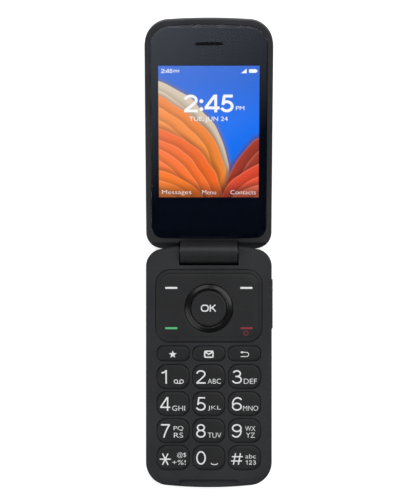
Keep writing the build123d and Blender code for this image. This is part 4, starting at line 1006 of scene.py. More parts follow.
# ---------------------------------------------------------------- pieces
def piece(
    name: str, shape: Shape, finish: bpy.types.Material, body: str, slot: str,
    replaces: Sequence[str] = (), crease: float = 32.0,
) -> bpy.types.Object:
    """Make a mesh object that rides on a body.

    Args:
        name: name of the piece.
        shape: its points in millimetres and faces.
        finish: its material.
        body: the body that it rides on.
        slot: the record's slot of its finish; not used.
        replaces: nodes that it stands for.
        crease: edges that turn by more than this many degrees stay sharp.

    Returns:
        The object.
    """
    mesh = bpy.data.meshes.new(name)
    mesh.from_pydata((shape.points * MM).tolist(), [], shape.faces)
    mesh.update()
    mesh.shade_smooth()
    mesh.set_sharp_from_angle(angle=math.radians(crease))
    mesh.materials.append(finish)
    made = bpy.data.objects.new(name, mesh)
    bpy.context.scene.collection.objects.link(made)
    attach(made, body)
    if replaces:
        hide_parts(*replaces)
    log.info("piece %s: %d faces on %s", name, len(shape.faces), body)
    return made


@lru_cache(maxsize=None)
def glyph_fill(text: str, weight: float) -> tuple[np.ndarray, np.ndarray]:
    """Points and triangles of a line of text in the built-in face.

    Args:
        text: the characters.
        weight: how far the strokes are fattened, in parts of the type size.

    Returns:
        Points as (point, xy) and triangles that run counterclockwise.
    """
    curve = bpy.data.curves.new("line_of_text", "FONT")
    curve.body = text
    curve.offset = weight
    curve.resolution_u = TEXT_CURVE_STEPS
    holder = bpy.data.objects.new("line_of_text", curve)
    bpy.context.scene.collection.objects.link(holder)
    bpy.context.view_layer.update()
    mesh = bpy.data.meshes.new_from_object(holder)
    mesh.calc_loop_triangles()
    points = np.zeros(len(mesh.vertices) * 3)
    mesh.vertices.foreach_get("co", points)
    triangles = np.zeros(len(mesh.loop_triangles) * 3, dtype=np.int32)
    mesh.loop_triangles.foreach_get("vertices", triangles)
    bpy.data.objects.remove(holder)
    bpy.data.curves.remove(curve)
    bpy.data.meshes.remove(mesh)
    flat = points.reshape(-1, 3)[:, :2]
    return flat, facing_up(flat, triangles.reshape(-1, 3))


@dataclass(frozen=True)
class Words:
    """A line of text fitted into a box, in millimetres about its carrier's centre."""

    text: str
    left: float
    right: float
    low: float
    high: float
    weight: float = 0.0

    def shape(self, low: float, high: float) -> Shape:
        """The line as a plate between two heights.

        The text's own box is carried onto the wanted box, each axis by itself.

        Args:
            low: height of the bottom.
            high: height of the top.

        Returns:
            The closed shape.
        """
        flat, triangles = glyph_fill(self.text, self.weight)
        least, most = flat.min(axis=0), flat.max(axis=0)
        wanted_low, wanted_high = np.array((self.left, self.low)), np.array((self.right, self.high))
        fitted = wanted_low + (flat - least) / (most - least) * (wanted_high - wanted_low)
        return thickened(fitted, triangles, low, high)


@dataclass(frozen=True)
class Sign:
    """A drawn sign: plates, each an outline and its holes, in millimetres about its carrier's centre."""

    plates: Sequence[Sequence[np.ndarray]]

    def shape(self, low: float, high: float) -> Shape:
        """The sign as plates between two heights."""
        return stacked(self.plates, low, high)


def star_sign(x: float, y: float, radius: float, notch: float = 0.42) -> Sign:
    """Five-pointed star: ten corners at the full radius and at a share of it by turns.

    Args:
        x: its middle across.
        y: its middle along.
        radius: reach of its points.
        notch: share of the radius at which its notches lie.

    Returns:
        The sign.
    """
    angle = math.pi / 2 + np.arange(10) * math.pi / 5
    reach = np.where(np.arange(10) % 2 == 0, radius, radius * notch)
    return Sign([[np.column_stack([x + reach * np.cos(angle), y + reach * np.sin(angle)])]])


def envelope_sign(x: float, y: float, width: float, height: float) -> Sign:
    """Rounded envelope drawn with a line, and the line of its flap.

    Args:
        x: its middle across.
        y: its middle along.
        width: width over the line.
        height: height over the line.

    Returns:
        The sign.
    """
    border_pen, flap_pen, corner = 0.58, 0.62, 0.75
    half_x, half_y = width / 2, height / 2
    border = [
        rounded_outline(half_x - inset, half_y - inset, corner - inset * 0.9, side=3, bend=6)[0] + (x, y)
        for inset in (0.0, border_pen)
    ]
    end_x, end_y = half_x - 0.4, half_y - 0.5
    flap = stroke([(-end_x, end_y), (0.0, -0.1), (end_x, end_y)], flap_pen) + (x, y)
    return Sign([border, [flap]])


def return_sign(x: float, y: float) -> Sign:
    """Arrow that turns back to the left: two legs joined by a half circle, with a filled head.

    Args:
        x: its middle across.
        y: its middle along.

    Returns:
        The sign.
    """
    radius, bend_x, pen = 0.92, 0.75, 0.34
    upper, lower = [(-1.5, radius), (-0.4, radius)], [(-0.6, -radius), (-1.75, -radius)]
    legs = stroke(np.concatenate([upper, arc(radius, 90, -90, bend_x, 0.0, 16), lower]), pen)
    head = np.array([(-0.95, 1.55), (-1.98, radius), (-0.95, 0.29)])
    return Sign([[legs + (x, y)], [head + (x, y)]])


def tape_sign(x: float, y: float) -> Sign:
    """Two reels joined by a line: the sign for recorded messages.

    Args:
        x: its middle across.
        y: its middle along.

    Returns:
        The sign.
    """
    reel_x, outer, inner, half, line_top = 1.22, 0.93, 0.6, 1.2, 0.61
    reels = [[disc(radius, x + side * reel_x, y, count=28) for radius in (outer, inner)] for side in (-1, 1)]
    low, high = y - outer, y - line_top
    line = np.array([(x - half, low), (x + half, low), (x + half, high), (x - half, high)])
    return Sign([*reels, [line]])


def asterisk_sign(x: float, y: float, width: float, height: float, pen: float) -> Sign:
    """Six-armed asterisk: three crossing strokes, 60 degrees apart before they are fitted to the box.

    Args:
        x: its middle across.
        y: its middle along.
        width: width of its box.
        height: height of its box.
        pen: width of the strokes.

    Returns:
        The sign.
    """
    bars = []
    for angle in (0.0, math.pi / 3, 2 * math.pi / 3):
        across, up = math.cos(angle) * width / 2, math.sin(angle) * height / 2 / math.sin(math.pi / 3)
        bars.append([stroke([(-across, -up), (across, up)], pen) + (x, y)])
    return Sign(bars)


def space_sign(x: float, y: float, width: float) -> Sign:
    """Shallow dish: the sign for a space.

    Args:
        x: its middle across.
        y: height of its place.
        width: width over its ends.

    Returns:
        The sign.
    """
    end, turn = width / 2, width / 2 * 0.72
    path = [(-end, 0.42), (-turn, -0.1), (0.0, -0.2), (turn, -0.1), (end, 0.42)]
    return Sign([[stroke(path, 0.36) + (x, y)]])


def bar_sign(x: float, y: float, width: float, height: float) -> Sign:
    """Bar with rounded ends."""
    return Sign([[rounded_outline(width / 2, height / 2, height * 0.3, side=3, bend=5)[0] + (x, y)]])


def power_sign(x: float, y: float, radius: float, pen: float) -> Sign:
    """Open circle with a stroke at its top: the sign for on and off.

    Args:
        x: its middle across.
        y: its middle along.
        radius: radius of the circle.
        pen: width of the lines.

    Returns:
        The sign.
    """
    circle = stroke(arc(radius, 125, 415, x, y), pen)
    bar = stroke([(x, y + radius * 0.35), (x, y + radius * 1.25)], pen)
    return Sign([[circle], [bar]])


def oval(
    x: float, y: float, across: float, up: float, start: float, stop: float, count: int = 30
) -> np.ndarray:
    """Part of an ellipse between two angles in degrees, as (point, xy)."""
    angle = np.radians(np.linspace(start, stop, count))
    return np.column_stack([x + across * np.cos(angle), y + up * np.sin(angle)])


def oval_ring(x: float, y: float, across: float, up: float, pen: float) -> list[np.ndarray]:
    """Outer and inner loop of a ring whose middle line is an ellipse."""
    half = pen / 2
    return [oval(x, y, across + side * half, up + side * half, 0, 350, 36) for side in (1, -1)]


@dataclass(frozen=True)
class Numeral:
    """Digit drawn with an even pen in a box, in millimetres about its carrier's centre.

    Bowls are parts of ellipses and stems are straight, and both are thickened by half the pen on each
    side, so that every stroke of every digit is equally heavy.
    """

    digit: str
    left: float
    right: float
    low: float = -3.0
    high: float = 2.9
    pen: float = 0.63

    def plates(self) -> list[list[np.ndarray]]:
        """Outlines and holes of the digit's strokes, from the box's lower left corner.

        Returns:
            One list of loops for each plate: its outline, then its hole if it has one.
        """
        w, h, p = self.right - self.left, self.high - self.low, self.pen
        e = p / 2
        waist = h * 0.535
        low_bowl, high_bowl = (waist - e) / 2, (h - e - waist) / 2

        def line(*points: tuple[float, float]) -> list[np.ndarray]:
            """Straight or bent stroke."""
            return [stroke(np.array(points), p)]

        def six() -> list[list[np.ndarray]]:
            """The six: a low bowl and a tall curve on its left."""
            curve = oval(w / 2 + 0.08 * w, h / 2, w * 0.58 - e, h / 2 - e, 186, 42)
            return [oval_ring(w / 2, e + h * 0.245, w / 2 - e, h * 0.245, p), [stroke(curve, p)]]

        drawn = {
            "0": lambda: [oval_ring(w / 2, h / 2, w / 2 - e, h / 2 - e, p)],
            "1": lambda: [line((w - e, 0), (w - e, h)),
                          line((w - p * 0.7, h - p * 0.75), (w * 0.42, h - p * 1.6), (0.0, h - p * 1.95))],
            "2": lambda: [
                [stroke(np.concatenate([
                    oval(w / 2, h - e - h * 0.235, w / 2 - e, h * 0.235, 172, -38),
                    [(w * 0.5, h * 0.335), (w * 0.22, h * 0.17), (e * 0.9, e * 0.9)],
                ]), p)],
                line((0.02 * w, e), (w, e)),
            ],
            "3": lambda: [
                [stroke(oval(w * 0.48, waist + high_bowl, w * 0.43 - e, high_bowl, 162, -92), p)],
                [stroke(oval(w * 0.48, e + low_bowl, w * 0.52 - e, low_bowl, 92, -164), p)],
                line((w * 0.34, waist), (w * 0.5, waist)),
            ],
            "4": lambda: [line((w * 0.70, h - e * 0.4), (e * 0.75, h * 0.27)),
                          line((0, h * 0.25), (w, h * 0.25)),
                          line((w * 0.74, 0), (w * 0.74, h))],
            "5": lambda: [
                line((w * 0.2, h - e), (w * 0.93, h - e)), line((w * 0.27, h - e), (w * 0.17, h * 0.42)),
                [stroke(oval(w * 0.47, e + h * 0.26, w * 0.53 - e, h * 0.26, 140, -162), p)],
            ],
            "6": six,
            "7": lambda: [line((0.03 * w, h - e), (w, h - e)),
                          line((w - e, h - e), (w * 0.63, h * 0.56), (w * 0.44, h * 0.26), (w * 0.34, 0))],
            "8": lambda: [oval_ring(w / 2, waist + high_bowl, w * 0.44 - e, high_bowl, p),
                          oval_ring(w / 2, e + low_bowl, w / 2 - e, low_bowl, p)],
            "9": lambda: [[np.array((w, h)) - loop for loop in loops] for loops in six()],
        }
        return drawn[self.digit]()

    def shape(self, low: float, high: float) -> Shape:
        """The digit as plates between two heights."""
        corner = np.array((self.left, self.low))
        return stacked([[loop + corner for loop in loops] for loops in self.plates()], low, high)


def hash_sign(left: float, low: float, width: float, height: float, pen: float) -> Sign:
    """Two leaning uprights crossed by two level bars.

    Args:
        left: left side of its box.
        low: bottom of its box.
        width: width of its box.
        height: height of its box.
        pen: width of the bars.

    Returns:
        The sign.
    """
    uprights = ((0.2, 0.0), (0.38, 1.0)), ((0.62, 0.0), (0.8, 1.0))
    bars = ((0.07, 0.7), (1.0, 0.7)), ((0.0, 0.32), (0.93, 0.32))
    lines = [np.array(line) * (width, height) + (left, low) for line in uprights + bars]
    return Sign([[stroke(line, pen)] for line in lines])


def ok_sign(pen: float) -> Sign:
    """The letters O and K, wide and evenly drawn.

    Args:
        pen: width of the strokes.

    Returns:
        The sign.
    """
    half_x, half_y, corner = 1.7, 1.52, 1.25
    loops = (half_x, half_y, corner), (half_x - pen, half_y - pen, corner - pen * 0.8)
    letter_o = [rounded_outline(*loop, side=4, bend=9)[0] + (-1.75, 0.1) for loop in loops]
    bars = ((0.62, -1.42), (0.62, 1.62)), ((0.75, -0.1), (2.85, 1.55)), ((1.35, 0.4), (2.95, -1.38))
    return Sign([letter_o, *([stroke(bar, pen)] for bar in bars)])


def letter_word(text: str, left: float, right: float, low: float = -3.0, high: float = -0.85) -> Words:
    """Small letters beside a numeral."""
    return Words(text, left, right, low, high, -0.007)


# Marks of each number key, in boxes about the key's middle.
NUMBER_LEGENDS: dict[str, tuple[Words | Sign | Numeral, ...]] = {
    "1": (Numeral("1", -5.1, -2.75), tape_sign(2.4, -2.05)),
    "2": (Numeral("2", -5.5, -1.4), letter_word("ABC", -0.55, 5.2)),
    "3": (Numeral("3", -5.35, -1.1), letter_word("DEF", -0.3, 5.35)),
    "4": (Numeral("4", -5.65, -1.3), letter_word("GHI", -0.45, 5.15)),
    "5": (Numeral("5", -5.45, -1.35), letter_word("JKL", -0.45, 5.2)),
    "6": (Numeral("6", -5.45, -1.15), letter_word("MNO", -0.6, 5.95)),
    "7": (Numeral("7", -5.45, -1.4), letter_word("PQ", 0.2, 4.4, -0.1, 2.0), letter_word("RS", 0.3, 4.3)),
    "8": (Numeral("8", -5.5, -1.4), letter_word("TUV", -0.45, 5.4)),
    "9": (Numeral("9", -5.45, -1.2), letter_word("WX", 0.3, 4.7, -0.1, 2.0), letter_word("YZ", 0.7, 4.5)),
    "star": (
        asterisk_sign(-3.46, -0.6, 4.8, 4.9, 0.54),
        letter_word("@$", 1.7, 5.6, -0.1, 2.3),
        letter_word("+%!", -0.4, 5.4, -3.05, -1.0),
    ),
    "0": (Numeral("0", -5.5, -1.3), space_sign(2.43, -2.75, 2.9)),
    "hash": (
        hash_sign(-5.8, -3.0, 5.05, 4.95, 0.5),
        letter_word("abc", 0.4, 5.0, -0.3, 1.6),
        Numeral("1", 0.5, 1.3, -3.0, -1.1, 0.26),
        Numeral("2", 1.95, 3.25, -3.0, -1.1, 0.26),
        Numeral("3", 3.65, 4.95, -3.0, -1.1, 0.26),
    ),
}


@dataclass(frozen=True)
class LidPlane:
    """Where the open lid is: its flat frame lies on the hinge axis and is tilted about it."""

    axis_y: float
    axis_z: float
    tilt: float

    @classmethod
    def from_frame(cls) -> "LidPlane":
        """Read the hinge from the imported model.

        Returns:
            The plane of the lid at rest.
        """
        hinge = next(joint for joint in frame["joints"] if joint["name"] == "lid_hinge")
        _, y, z = hinge["pos_m"]
        return cls(y / MM, z / MM, math.radians(180.0 - hinge["range_deg"][1]))

    def carry(self, shape: Shape) -> Shape:
        """Turn a shape of the flat lid frame about X by the tilt and put it on the axis.

        Args:
            shape: shape whose x is across, y along the lid from the hinge, and z off its plane.

        Returns:
            The shape in the model's frame.
        """
        c, s = math.cos(self.tilt), math.sin(self.tilt)
        turn = np.array([[1, 0, 0], [0, c, s], [0, -s, c]])
        return Shape(shape.points @ turn + np.array((0, self.axis_y, self.axis_z)), shape.faces)


# ---------------------------------------------------------------- keypad
@dataclass
class Keypad:
    """Number keys and function keys: pillowed caps with flanges, and their printed legends."""

    flange: float = 0.35
    flange_height: float = 0.5
    spread: float = 0.11
    shoulder: float = 9.95
    edge: float = 1.45
    edge_steps: int = 9
    top: float = 10.6
    crown: float = 0.04
    bulge: float = 0.25
    number_corner: float = 3.9
    function_corner: float = 2.4
    ink_low: float = -0.03
    ink_high: float = 0.02

    def cap(self, node: str, corner: float) -> tuple[Shape, np.ndarray]:
        """Cap that takes the place of a key's node.

        Args:
            node: name of the key.
            corner: radius of the cap's corners.

        Returns:
            The cap's shape and the centre of the key.
        """
        low, high = (np.array(point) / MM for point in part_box(node))
        centre = (low + high) / 2
        half_x, half_y = (high - low)[:2] / 2 - self.flange + self.spread
        outline = rounded_outline(half_x, half_y, corner, self.bulge)
        ledge = low[2] + self.flange_height
        lip = self.spread - self.flange
        stations = [(lip, low[2]), (lip, ledge), (0.0, ledge)]
        stations += quarter_round(self.edge, self.shoulder, self.top, self.edge_steps)
        return lofted_cap(outline, stations, self.crown).moved(centre[0], centre[1]), centre

    def legend(
        self, name: str, marks: Sequence[Words | Sign | Numeral], centre: np.ndarray, body: str
    ) -> None:
        """Print marks on a key.

        Args:
            name: name of the piece.
            marks: what is printed.
            centre: the key's middle.
            body: the body that the key is.
        """
        low, high = self.top + self.ink_low, self.top + self.crown + self.ink_high
        shape = Shape.joined([mark.shape(low, high) for mark in marks]).moved(centre[0], centre[1])
        piece(name, shape, Finish.WHITE.material(), body, "key")

    def build(self) -> None:
        """Make every cap and legend."""
        for label, marks in NUMBER_LEGENDS.items():
            node = f"number_key_{label}"
            shape, centre = self.cap(node, self.number_corner)
            piece(f"cap_{node}", shape, Finish.KEY.material(), node, "key", [node])
            self.legend(f"legend_{node}", marks, centre, node)
        signs = {
            "favourites_key": star_sign(-0.2, -0.4, 1.75),
            "message_key": envelope_sign(0.0, -0.3, 4.2, 3.2),
            "back_key": return_sign(0.15, -0.4),
        }
        for node, sign in signs.items():
            shape, centre = self.cap(node, self.function_corner)
            piece(f"cap_{node}", shape, Finish.KEY.material(), node, "key", [node])
            self.legend(f"legend_{node}", [sign], centre, node)


# ---------------------------------------------------------------- navigation panel
@dataclass
class NavigationPanel:
    """Four corner keys that share one rim, the ring and the round key.

    A round is a pair: its inset and its fall. The rim's edge and the groove inside it are stations of
    the profile: inset from the outline, and height against the rim and against the face.
    """

    clear: float = 0.15
    spread: float = 0.1
    corner: float = 6.35
    slit: float = 0.012
    upper_marks: float = 7.85
    lower_marks: float = -9.66
    power_mark: float = -11.75
    face: float = 10.3
    rim: float = 10.4
    cad_flange: float = 0.35
    flange_height: float = 0.5
    rim_round: tuple[float, float] = (0.95, 0.55)
    rim_edge: tuple[tuple[float, float], ...] = ((1.55, 0.0), (1.66, -0.04))
    groove: tuple[tuple[float, float], ...] = ((1.8, -0.08), (1.95, -0.1), (2.1, -0.05), (2.25, 0.0))
    hole_round: tuple[float, float] = (0.3, 0.25)
    between: tuple[float, ...] = (0.25, 0.5, 0.75)
    ring_outer: float = 10.45
    ring_inner: float = 7.9
    ring_top: float = 10.55
    ring_crest: float = 0.9
    ring_slope: float = 17.0
    ring_outer_round: tuple[float, float] = (0.12, 0.14)
    ring_inner_round: tuple[float, float] = (0.1, 0.12)
    crest_round: tuple[float, float, float] = (0.1, 0.05, 0.02)
    ring_bowl: float = 0.5
    round_key: float = 7.75
    round_top: float = 10.62
    round_shoulder: float = 10.05
    round_edge: float = 0.9
    dish_depth: float = 0.07
    dish_radius: float = 6.6
    dish_rings: tuple[float, ...] = (6.2, 5.2, 4.0, 2.6, 1.2)
    mark_x: float = 16.31
    mark_size: tuple[float, float] = (5.3, 0.85)
    ink: tuple[float, float] = (-0.03, 0.02)
    word_pen: float = 0.5
    word_heights: tuple[float, float] = (10.5, 10.585)
    steps: int = 40

    def __post_init__(self) -> None:
        """Find the panel's middle and the ring's middle in the frame."""
        boxes = [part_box(name) for name in ("soft_key_left", "soft_key_right", "send_key", "end_key")]
        low = np.min([b[0] for b in boxes], axis=0) / MM
        high = np.max([b[1] for b in boxes], axis=0) / MM
        self.middle = (low + high) / 2
        self.flange = self.cad_flange + self.clear
        self.half = (high - low)[:2] / 2 - self.flange + self.spread
        self.bottom = float(low[2])
        ring_low, ring_high = (np.array(p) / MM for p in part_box("nav_ring"))
        self.ring_y = float((ring_low + ring_high)[1] / 2)
        self.ring_low = float(ring_low[2])

    def outer_row(self, inset: float) -> np.ndarray:
        """A quarter of the panel's outline, from its upper middle round the corner to its right middle.

        The quarter is a straight run, an arc and a straight run, all moved in by the inset. Points are
        relative to the panel's middle.

        Args:
            inset: distance inside the outline.

        Returns:
            Points as (point, xy).
        """
        a, b = self.half - inset
        corner = max(self.corner - inset, 0.3)
        third = self.steps // 3
        top = np.column_stack([np.linspace(self.slit, a - corner, third, endpoint=False), np.full(third, b)])
        bend = arc(corner, 90, 0, a - corner, b - corner, self.steps - 2 * third)
        side = np.column_stack([np.full(third + 1, a), np.linspace(b - corner, self.slit, third + 1)])[1:]
        return np.concatenate([top, bend, side])

    def inner_row(self, radius: float, drop: float) -> np.ndarray:
        """Arc round the ring between the two slits, in as many points as the outer row.

        It starts where the circle meets the upright slit and ends where it meets the level slit.

        Args:
            radius: radius of the arc.
            drop: height of the level slit over the ring's centre.

        Returns:
            Points as (point, xy), relative to the panel's middle.
        """
        start = math.acos(self.slit / radius)
        stop = math.asin((drop + self.slit) / radius)
        angle = np.linspace(start, stop, self.steps)
        return np.column_stack([radius * np.cos(angle), radius * np.sin(angle) - drop])

    def corner_key(self, side_x: int, side_y: int) -> Shape:
        """One corner key as a closed profile carried round its quarter of the panel.

        The profile climbs from the flange over the rounded rim, steps down to the face, runs straight
        across to the ring's hole, and comes back along the bottom.

        Args:
            side_x: 1 for the right half, -1 for the left.
            side_y: 1 for the upper half, -1 for the lower.

        Returns:
            The closed shape.
        """
        drop = (self.middle[1] - self.ring_y) * side_y
        ledge = self.bottom + self.flange_height
        lip = self.spread - self.flange
        inset, fall = self.rim_round
        outer = [(lip, self.bottom), (lip, ledge), (0.0, ledge)]
        outer += quarter_round(inset, self.rim - fall, self.rim, 9)
        outer += [(inset, self.rim + height) for inset, height in self.rim_edge]
        outer += [(inset, self.face + height) for inset, height in self.groove]
        inset, fall = self.hole_round
        hole = self.ring_outer + self.clear
        bore = quarter_round(inset, self.face - fall, self.face, 5)
        inner = [(hole + inset, height) for inset, height in reversed(bore)] + [(hole, self.bottom)]
        rows = [lifted(self.outer_row(inset), height) for inset, height in outer]
        edge, start = rows[-1], lifted(self.inner_row(inner[0][0], drop), self.face)
        rows += [edge * (1 - share) + start * share for share in self.between]
        rows += [lifted(self.inner_row(radius, drop), height) for radius, height in inner]
        sections = np.stack(rows, axis=1) * np.array((side_x, side_y, 1))
        if side_x * side_y < 0:
            sections = sections[:, ::-1]
        return carried_profile(sections).moved(0.0, float(self.middle[1]))

    def ring(self) -> Shape:
        """Ring whose top slopes down outwards as a cone from a rounded crest and falls off inside.

        From the crest outwards the height drops by the slope's tangent times the distance. Inwards it
        drops by a parabola, and both ends turn down in a small round.

        Returns:
            The ring about its own centre.
        """
        crest, rise = self.ring_inner + self.ring_crest, math.tan(math.radians(self.ring_slope))
        crest_out, crest_in, crest_drop = self.crest_round
        (outer_inset, outer_fall), (inner_inset, inner_fall) = self.ring_outer_round, self.ring_inner_round
        out = np.linspace(self.ring_outer - outer_inset, crest + crest_out, 9)
        cone = [(float(x), self.ring_top - crest_drop - rise * float(x - crest)) for x in out]
        inward = np.linspace(crest - crest_in, self.ring_inner + inner_inset, 7)
        bowl = [(float(x), self.ring_top - self.ring_bowl * float(crest - x) ** 2) for x in inward]
        outer = [(self.ring_outer, self.ring_low), (self.ring_outer, cone[0][1] - outer_fall)]
        inner = [(self.ring_inner, bowl[-1][1] - inner_fall), (self.ring_inner, self.ring_low)]
        return turned(outer + cone + bowl + inner, 128, closed=True)

    def centre_key(self) -> Shape:
        """Round key with a soft edge and a shallow dish.

        The dish is as deep as its depth times one minus the square of the share of its radius.

        Returns:
            The key about its own centre.
        """
        rounding = quarter_round(self.round_edge, self.round_shoulder, self.round_top, 10)
        edge = [(self.round_key - inset, height) for inset, height in rounding]
        dish = [(r, self.round_top - self.dish_depth * (1 - (r / self.dish_radius) ** 2))
                for r in self.dish_rings]
        return turned([(self.round_key, self.bottom)] + edge + dish, 96)

    def build(self) -> None:
        """Make the keys, the ring and the marks."""
        levels = (self.upper_marks, self.lower_marks, self.power_mark)
        high, low, power = (float(self.middle[1]) + level for level in levels)
        end_marks = [bar_sign(16.4, low, 5.3, 0.8), power_sign(16.1, power, 0.95, 0.24)]
        marks = {
            "soft_key_left": (-1, 1, Finish.WHITE, [bar_sign(-self.mark_x, high, *self.mark_size)]),
            "soft_key_right": (1, 1, Finish.WHITE, [bar_sign(self.mark_x, high, *self.mark_size)]),
            "send_key": (-1, -1, Finish.GREEN, [bar_sign(-self.mark_x, low, *self.mark_size)]),
            "end_key": (1, -1, Finish.RED, end_marks),
        }
        ink_low, ink_high = (self.face + height for height in self.ink)
        for node, (side_x, side_y, finish, signs) in marks.items():
            key = self.corner_key(side_x, side_y)
            piece(f"panel_{node}", key, Finish.PANEL.material(), node, "key", [node])
            shape = Shape.joined([sign.shape(ink_low, ink_high) for sign in signs])
            piece(f"mark_{node}", shape, finish.material(), node, "key")
        ring = self.ring().moved(0.0, self.ring_y)
        piece("ring_glossy", ring, Finish.RING.material(), "nav_ring", "gloss_black", ["nav_ring"], 50.0)
        round_key = self.centre_key().moved(0.0, self.ring_y)
        piece("round_ok_key", round_key, Finish.ROUND_KEY.material(), "ok_key", "key", ["ok_key"])
        word = ok_sign(self.word_pen).shape(*self.word_heights).moved(0.0, self.ring_y)
        piece("legend_ok_key", word, Finish.WHITE.material(), "ok_key", "key")


# ---------------------------------------------------------------- screen half
@dataclass
class ScreenHalf:
    """Picture, its signs and the black border under the window of the lid."""

    plane: LidPlane
    window_width: float = 49.9
    window_low: float = 5.05
    window_high: float = 100.0
    low_corner: float = 5.0
    high_corner: float = 8.6
    picture_width: float = 43.2
    picture_height: float = 58.2
    picture_centre: float = 52.85
    picture_level: float = -4.335
    picture_cells: tuple[int, int] = (13, 17)
    sign_level: float = -4.32
    sign_depth: float = 0.01
    border_level: tuple[float, float] = (-4.245, -4.21)
    border_gap: float = 0.1
    border_end: float = 1.9
    digits: tuple[tuple[str, float, float], ...] = (("2", 0.0, 5.9), ("4", 8.9, 15.3), ("5", 15.8, 21.3))
    digit_height: float = 7.75
    digit_pen: float = 1.25
    dot_x: float = 7.5
    dot_rises: tuple[float, float] = (1.4, 4.9)
    dot_radius: float = 0.85
    clocks: tuple[tuple[float, float, float], ...] = ((10.9, 12.6, 1.0), (1.2, 1.4, 0.228))
    signal: tuple[tuple[float, float], ...] = ((35.3, -3.25), (37.7, -3.25), (37.7, -1.25))

    def build(self) -> None:
        """Make the border, the picture and its signs."""
        self.border()
        self.picture()
        self.signs()

    def border(self) -> None:
        """Black border printed on the back of the window, open over the picture."""
        half = self.window_width / 2 - self.border_gap
        base, top = self.window_low + self.border_gap, self.window_high - self.border_end
        low, high = self.low_corner, self.high_corner
        outline = np.concatenate([
            arc(low, 180, 270, low - half, base + low),
            arc(low, 270, 360, half - low, base + low),
            arc(high, 0, 90, half - high, top - high),
            arc(high, 90, 180, high - half, top - high),
        ])
        x, y = self.picture_width / 2, self.picture_height / 2
        opening = np.array([(-x, -y), (x, -y), (x, y), (-x, y)]) + (0.0, self.picture_centre)
        shape = plate([outline, opening], *self.border_level)
        # the border's blue tint is painted reflection of the window
        piece("screen_border", self.plane.carry(shape), Finish.MASK.material(), "lid", "lens")

    def picture(self) -> None:
        """Lit picture: a flat grid with its own UV map."""
        columns, rows = self.picture_cells
        x = np.linspace(-self.picture_width / 2, self.picture_width / 2, columns)
        y = np.linspace(-self.picture_height / 2, self.picture_height / 2, rows) + self.picture_centre
        xs, ys = np.meshgrid(x, y)
        points = np.stack([xs, ys, np.full(xs.shape, self.picture_level)], axis=-1).reshape(-1, 3)
        quads = grid_quads(rows, columns)
        finish = LitPicture("lit_wallpaper", self.picture_width, self.picture_height, SKY, WALLPAPER)
        flat = Shape(points, quads.tolist())
        made = piece("lit_picture", self.plane.carry(flat), dressed(finish), "lid", "screen")
        share = np.column_stack([
            points[:, 0] / self.picture_width + 0.5,
            (points[:, 1] - self.picture_centre) / self.picture_height + 0.5,
        ])
        layer = made.data.uv_layers.new(name="picture")
        layer.data.foreach_set("uv", share[quads.ravel()].astype(np.float32).ravel())

    def clock(self, left: float, top: float, scale: float) -> list[Shape]:
        """The clock's digits and its colon.

        Args:
            left: its left side.
            top: its upper side.
            scale: its size against the large clock.

        Returns:
            The shapes of the digits and of the two dots.
        """
        low, high = self.sign_level, self.sign_level + self.sign_depth
        base = top - self.digit_height * scale
        shapes = []
        for digit, x0, x1 in self.digits:
            start, stop, pen = left + x0 * scale, left + x1 * scale, self.digit_pen * scale
            shapes.append(Numeral(digit, start, stop, base, top, pen).shape(low, high))
        for rise in self.dot_rises:
            dot = disc(self.dot_radius * scale, left + self.dot_x * scale, base + rise * scale, 20)
            shapes.append(plate([dot], low, high))
        return shapes

    def signs(self) -> None:
        """Clock, date, status line and the names of the three soft keys, lit."""
        top = self.picture_centre + self.picture_height / 2
        left = -self.picture_width / 2
        low, high = self.sign_level, self.sign_level + self.sign_depth

        def at(text: str, x0: float, x1: float, down: float, tall: float, weight: float = 0.0) -> Words:
            """Words in a box given from the picture's upper left corner."""
            return Words(text, left + x0, left + x1, top - down - tall, top - down, weight)

        words = [
            at("PM", 33.2, 36.8, 17.65, 1.75),
            at("TUE, JUN 24", 13.2, 29.7, 22.25, 2.5),
            at("PM", 6.5, 8.9, 1.75, 1.35),
            at("Messages", 1.3, 14.0, 55.0, 2.3, -0.012),
            at("Menu", 18.7, 24.7, 55.0, 1.85, -0.012),
            at("Contacts", 31.0, 42.0, 55.0, 1.85, -0.012),
        ]
        shapes = [word.shape(low, high) for word in words]
        for x, down, scale in self.clocks:
            shapes += self.clock(left + x, top - down, scale)
        wedge = np.array(self.signal) + (left, top)
        cell = rounded_outline(1.6, 0.8, 0.35, side=3, bend=4)[0] + (left + 40.3, top - 2.3)
        tip = rounded_outline(0.2, 0.4, 0.1, side=2, bend=3)[0] + (left + 42.1, top - 2.3)
        shapes += [plate([outline], low, high) for outline in (wedge, cell, tip)]
        signs = self.plane.carry(Shape.joined(shapes))
        piece("lit_signs", signs, dressed(LitText("lit_white")), "lid", "screen")


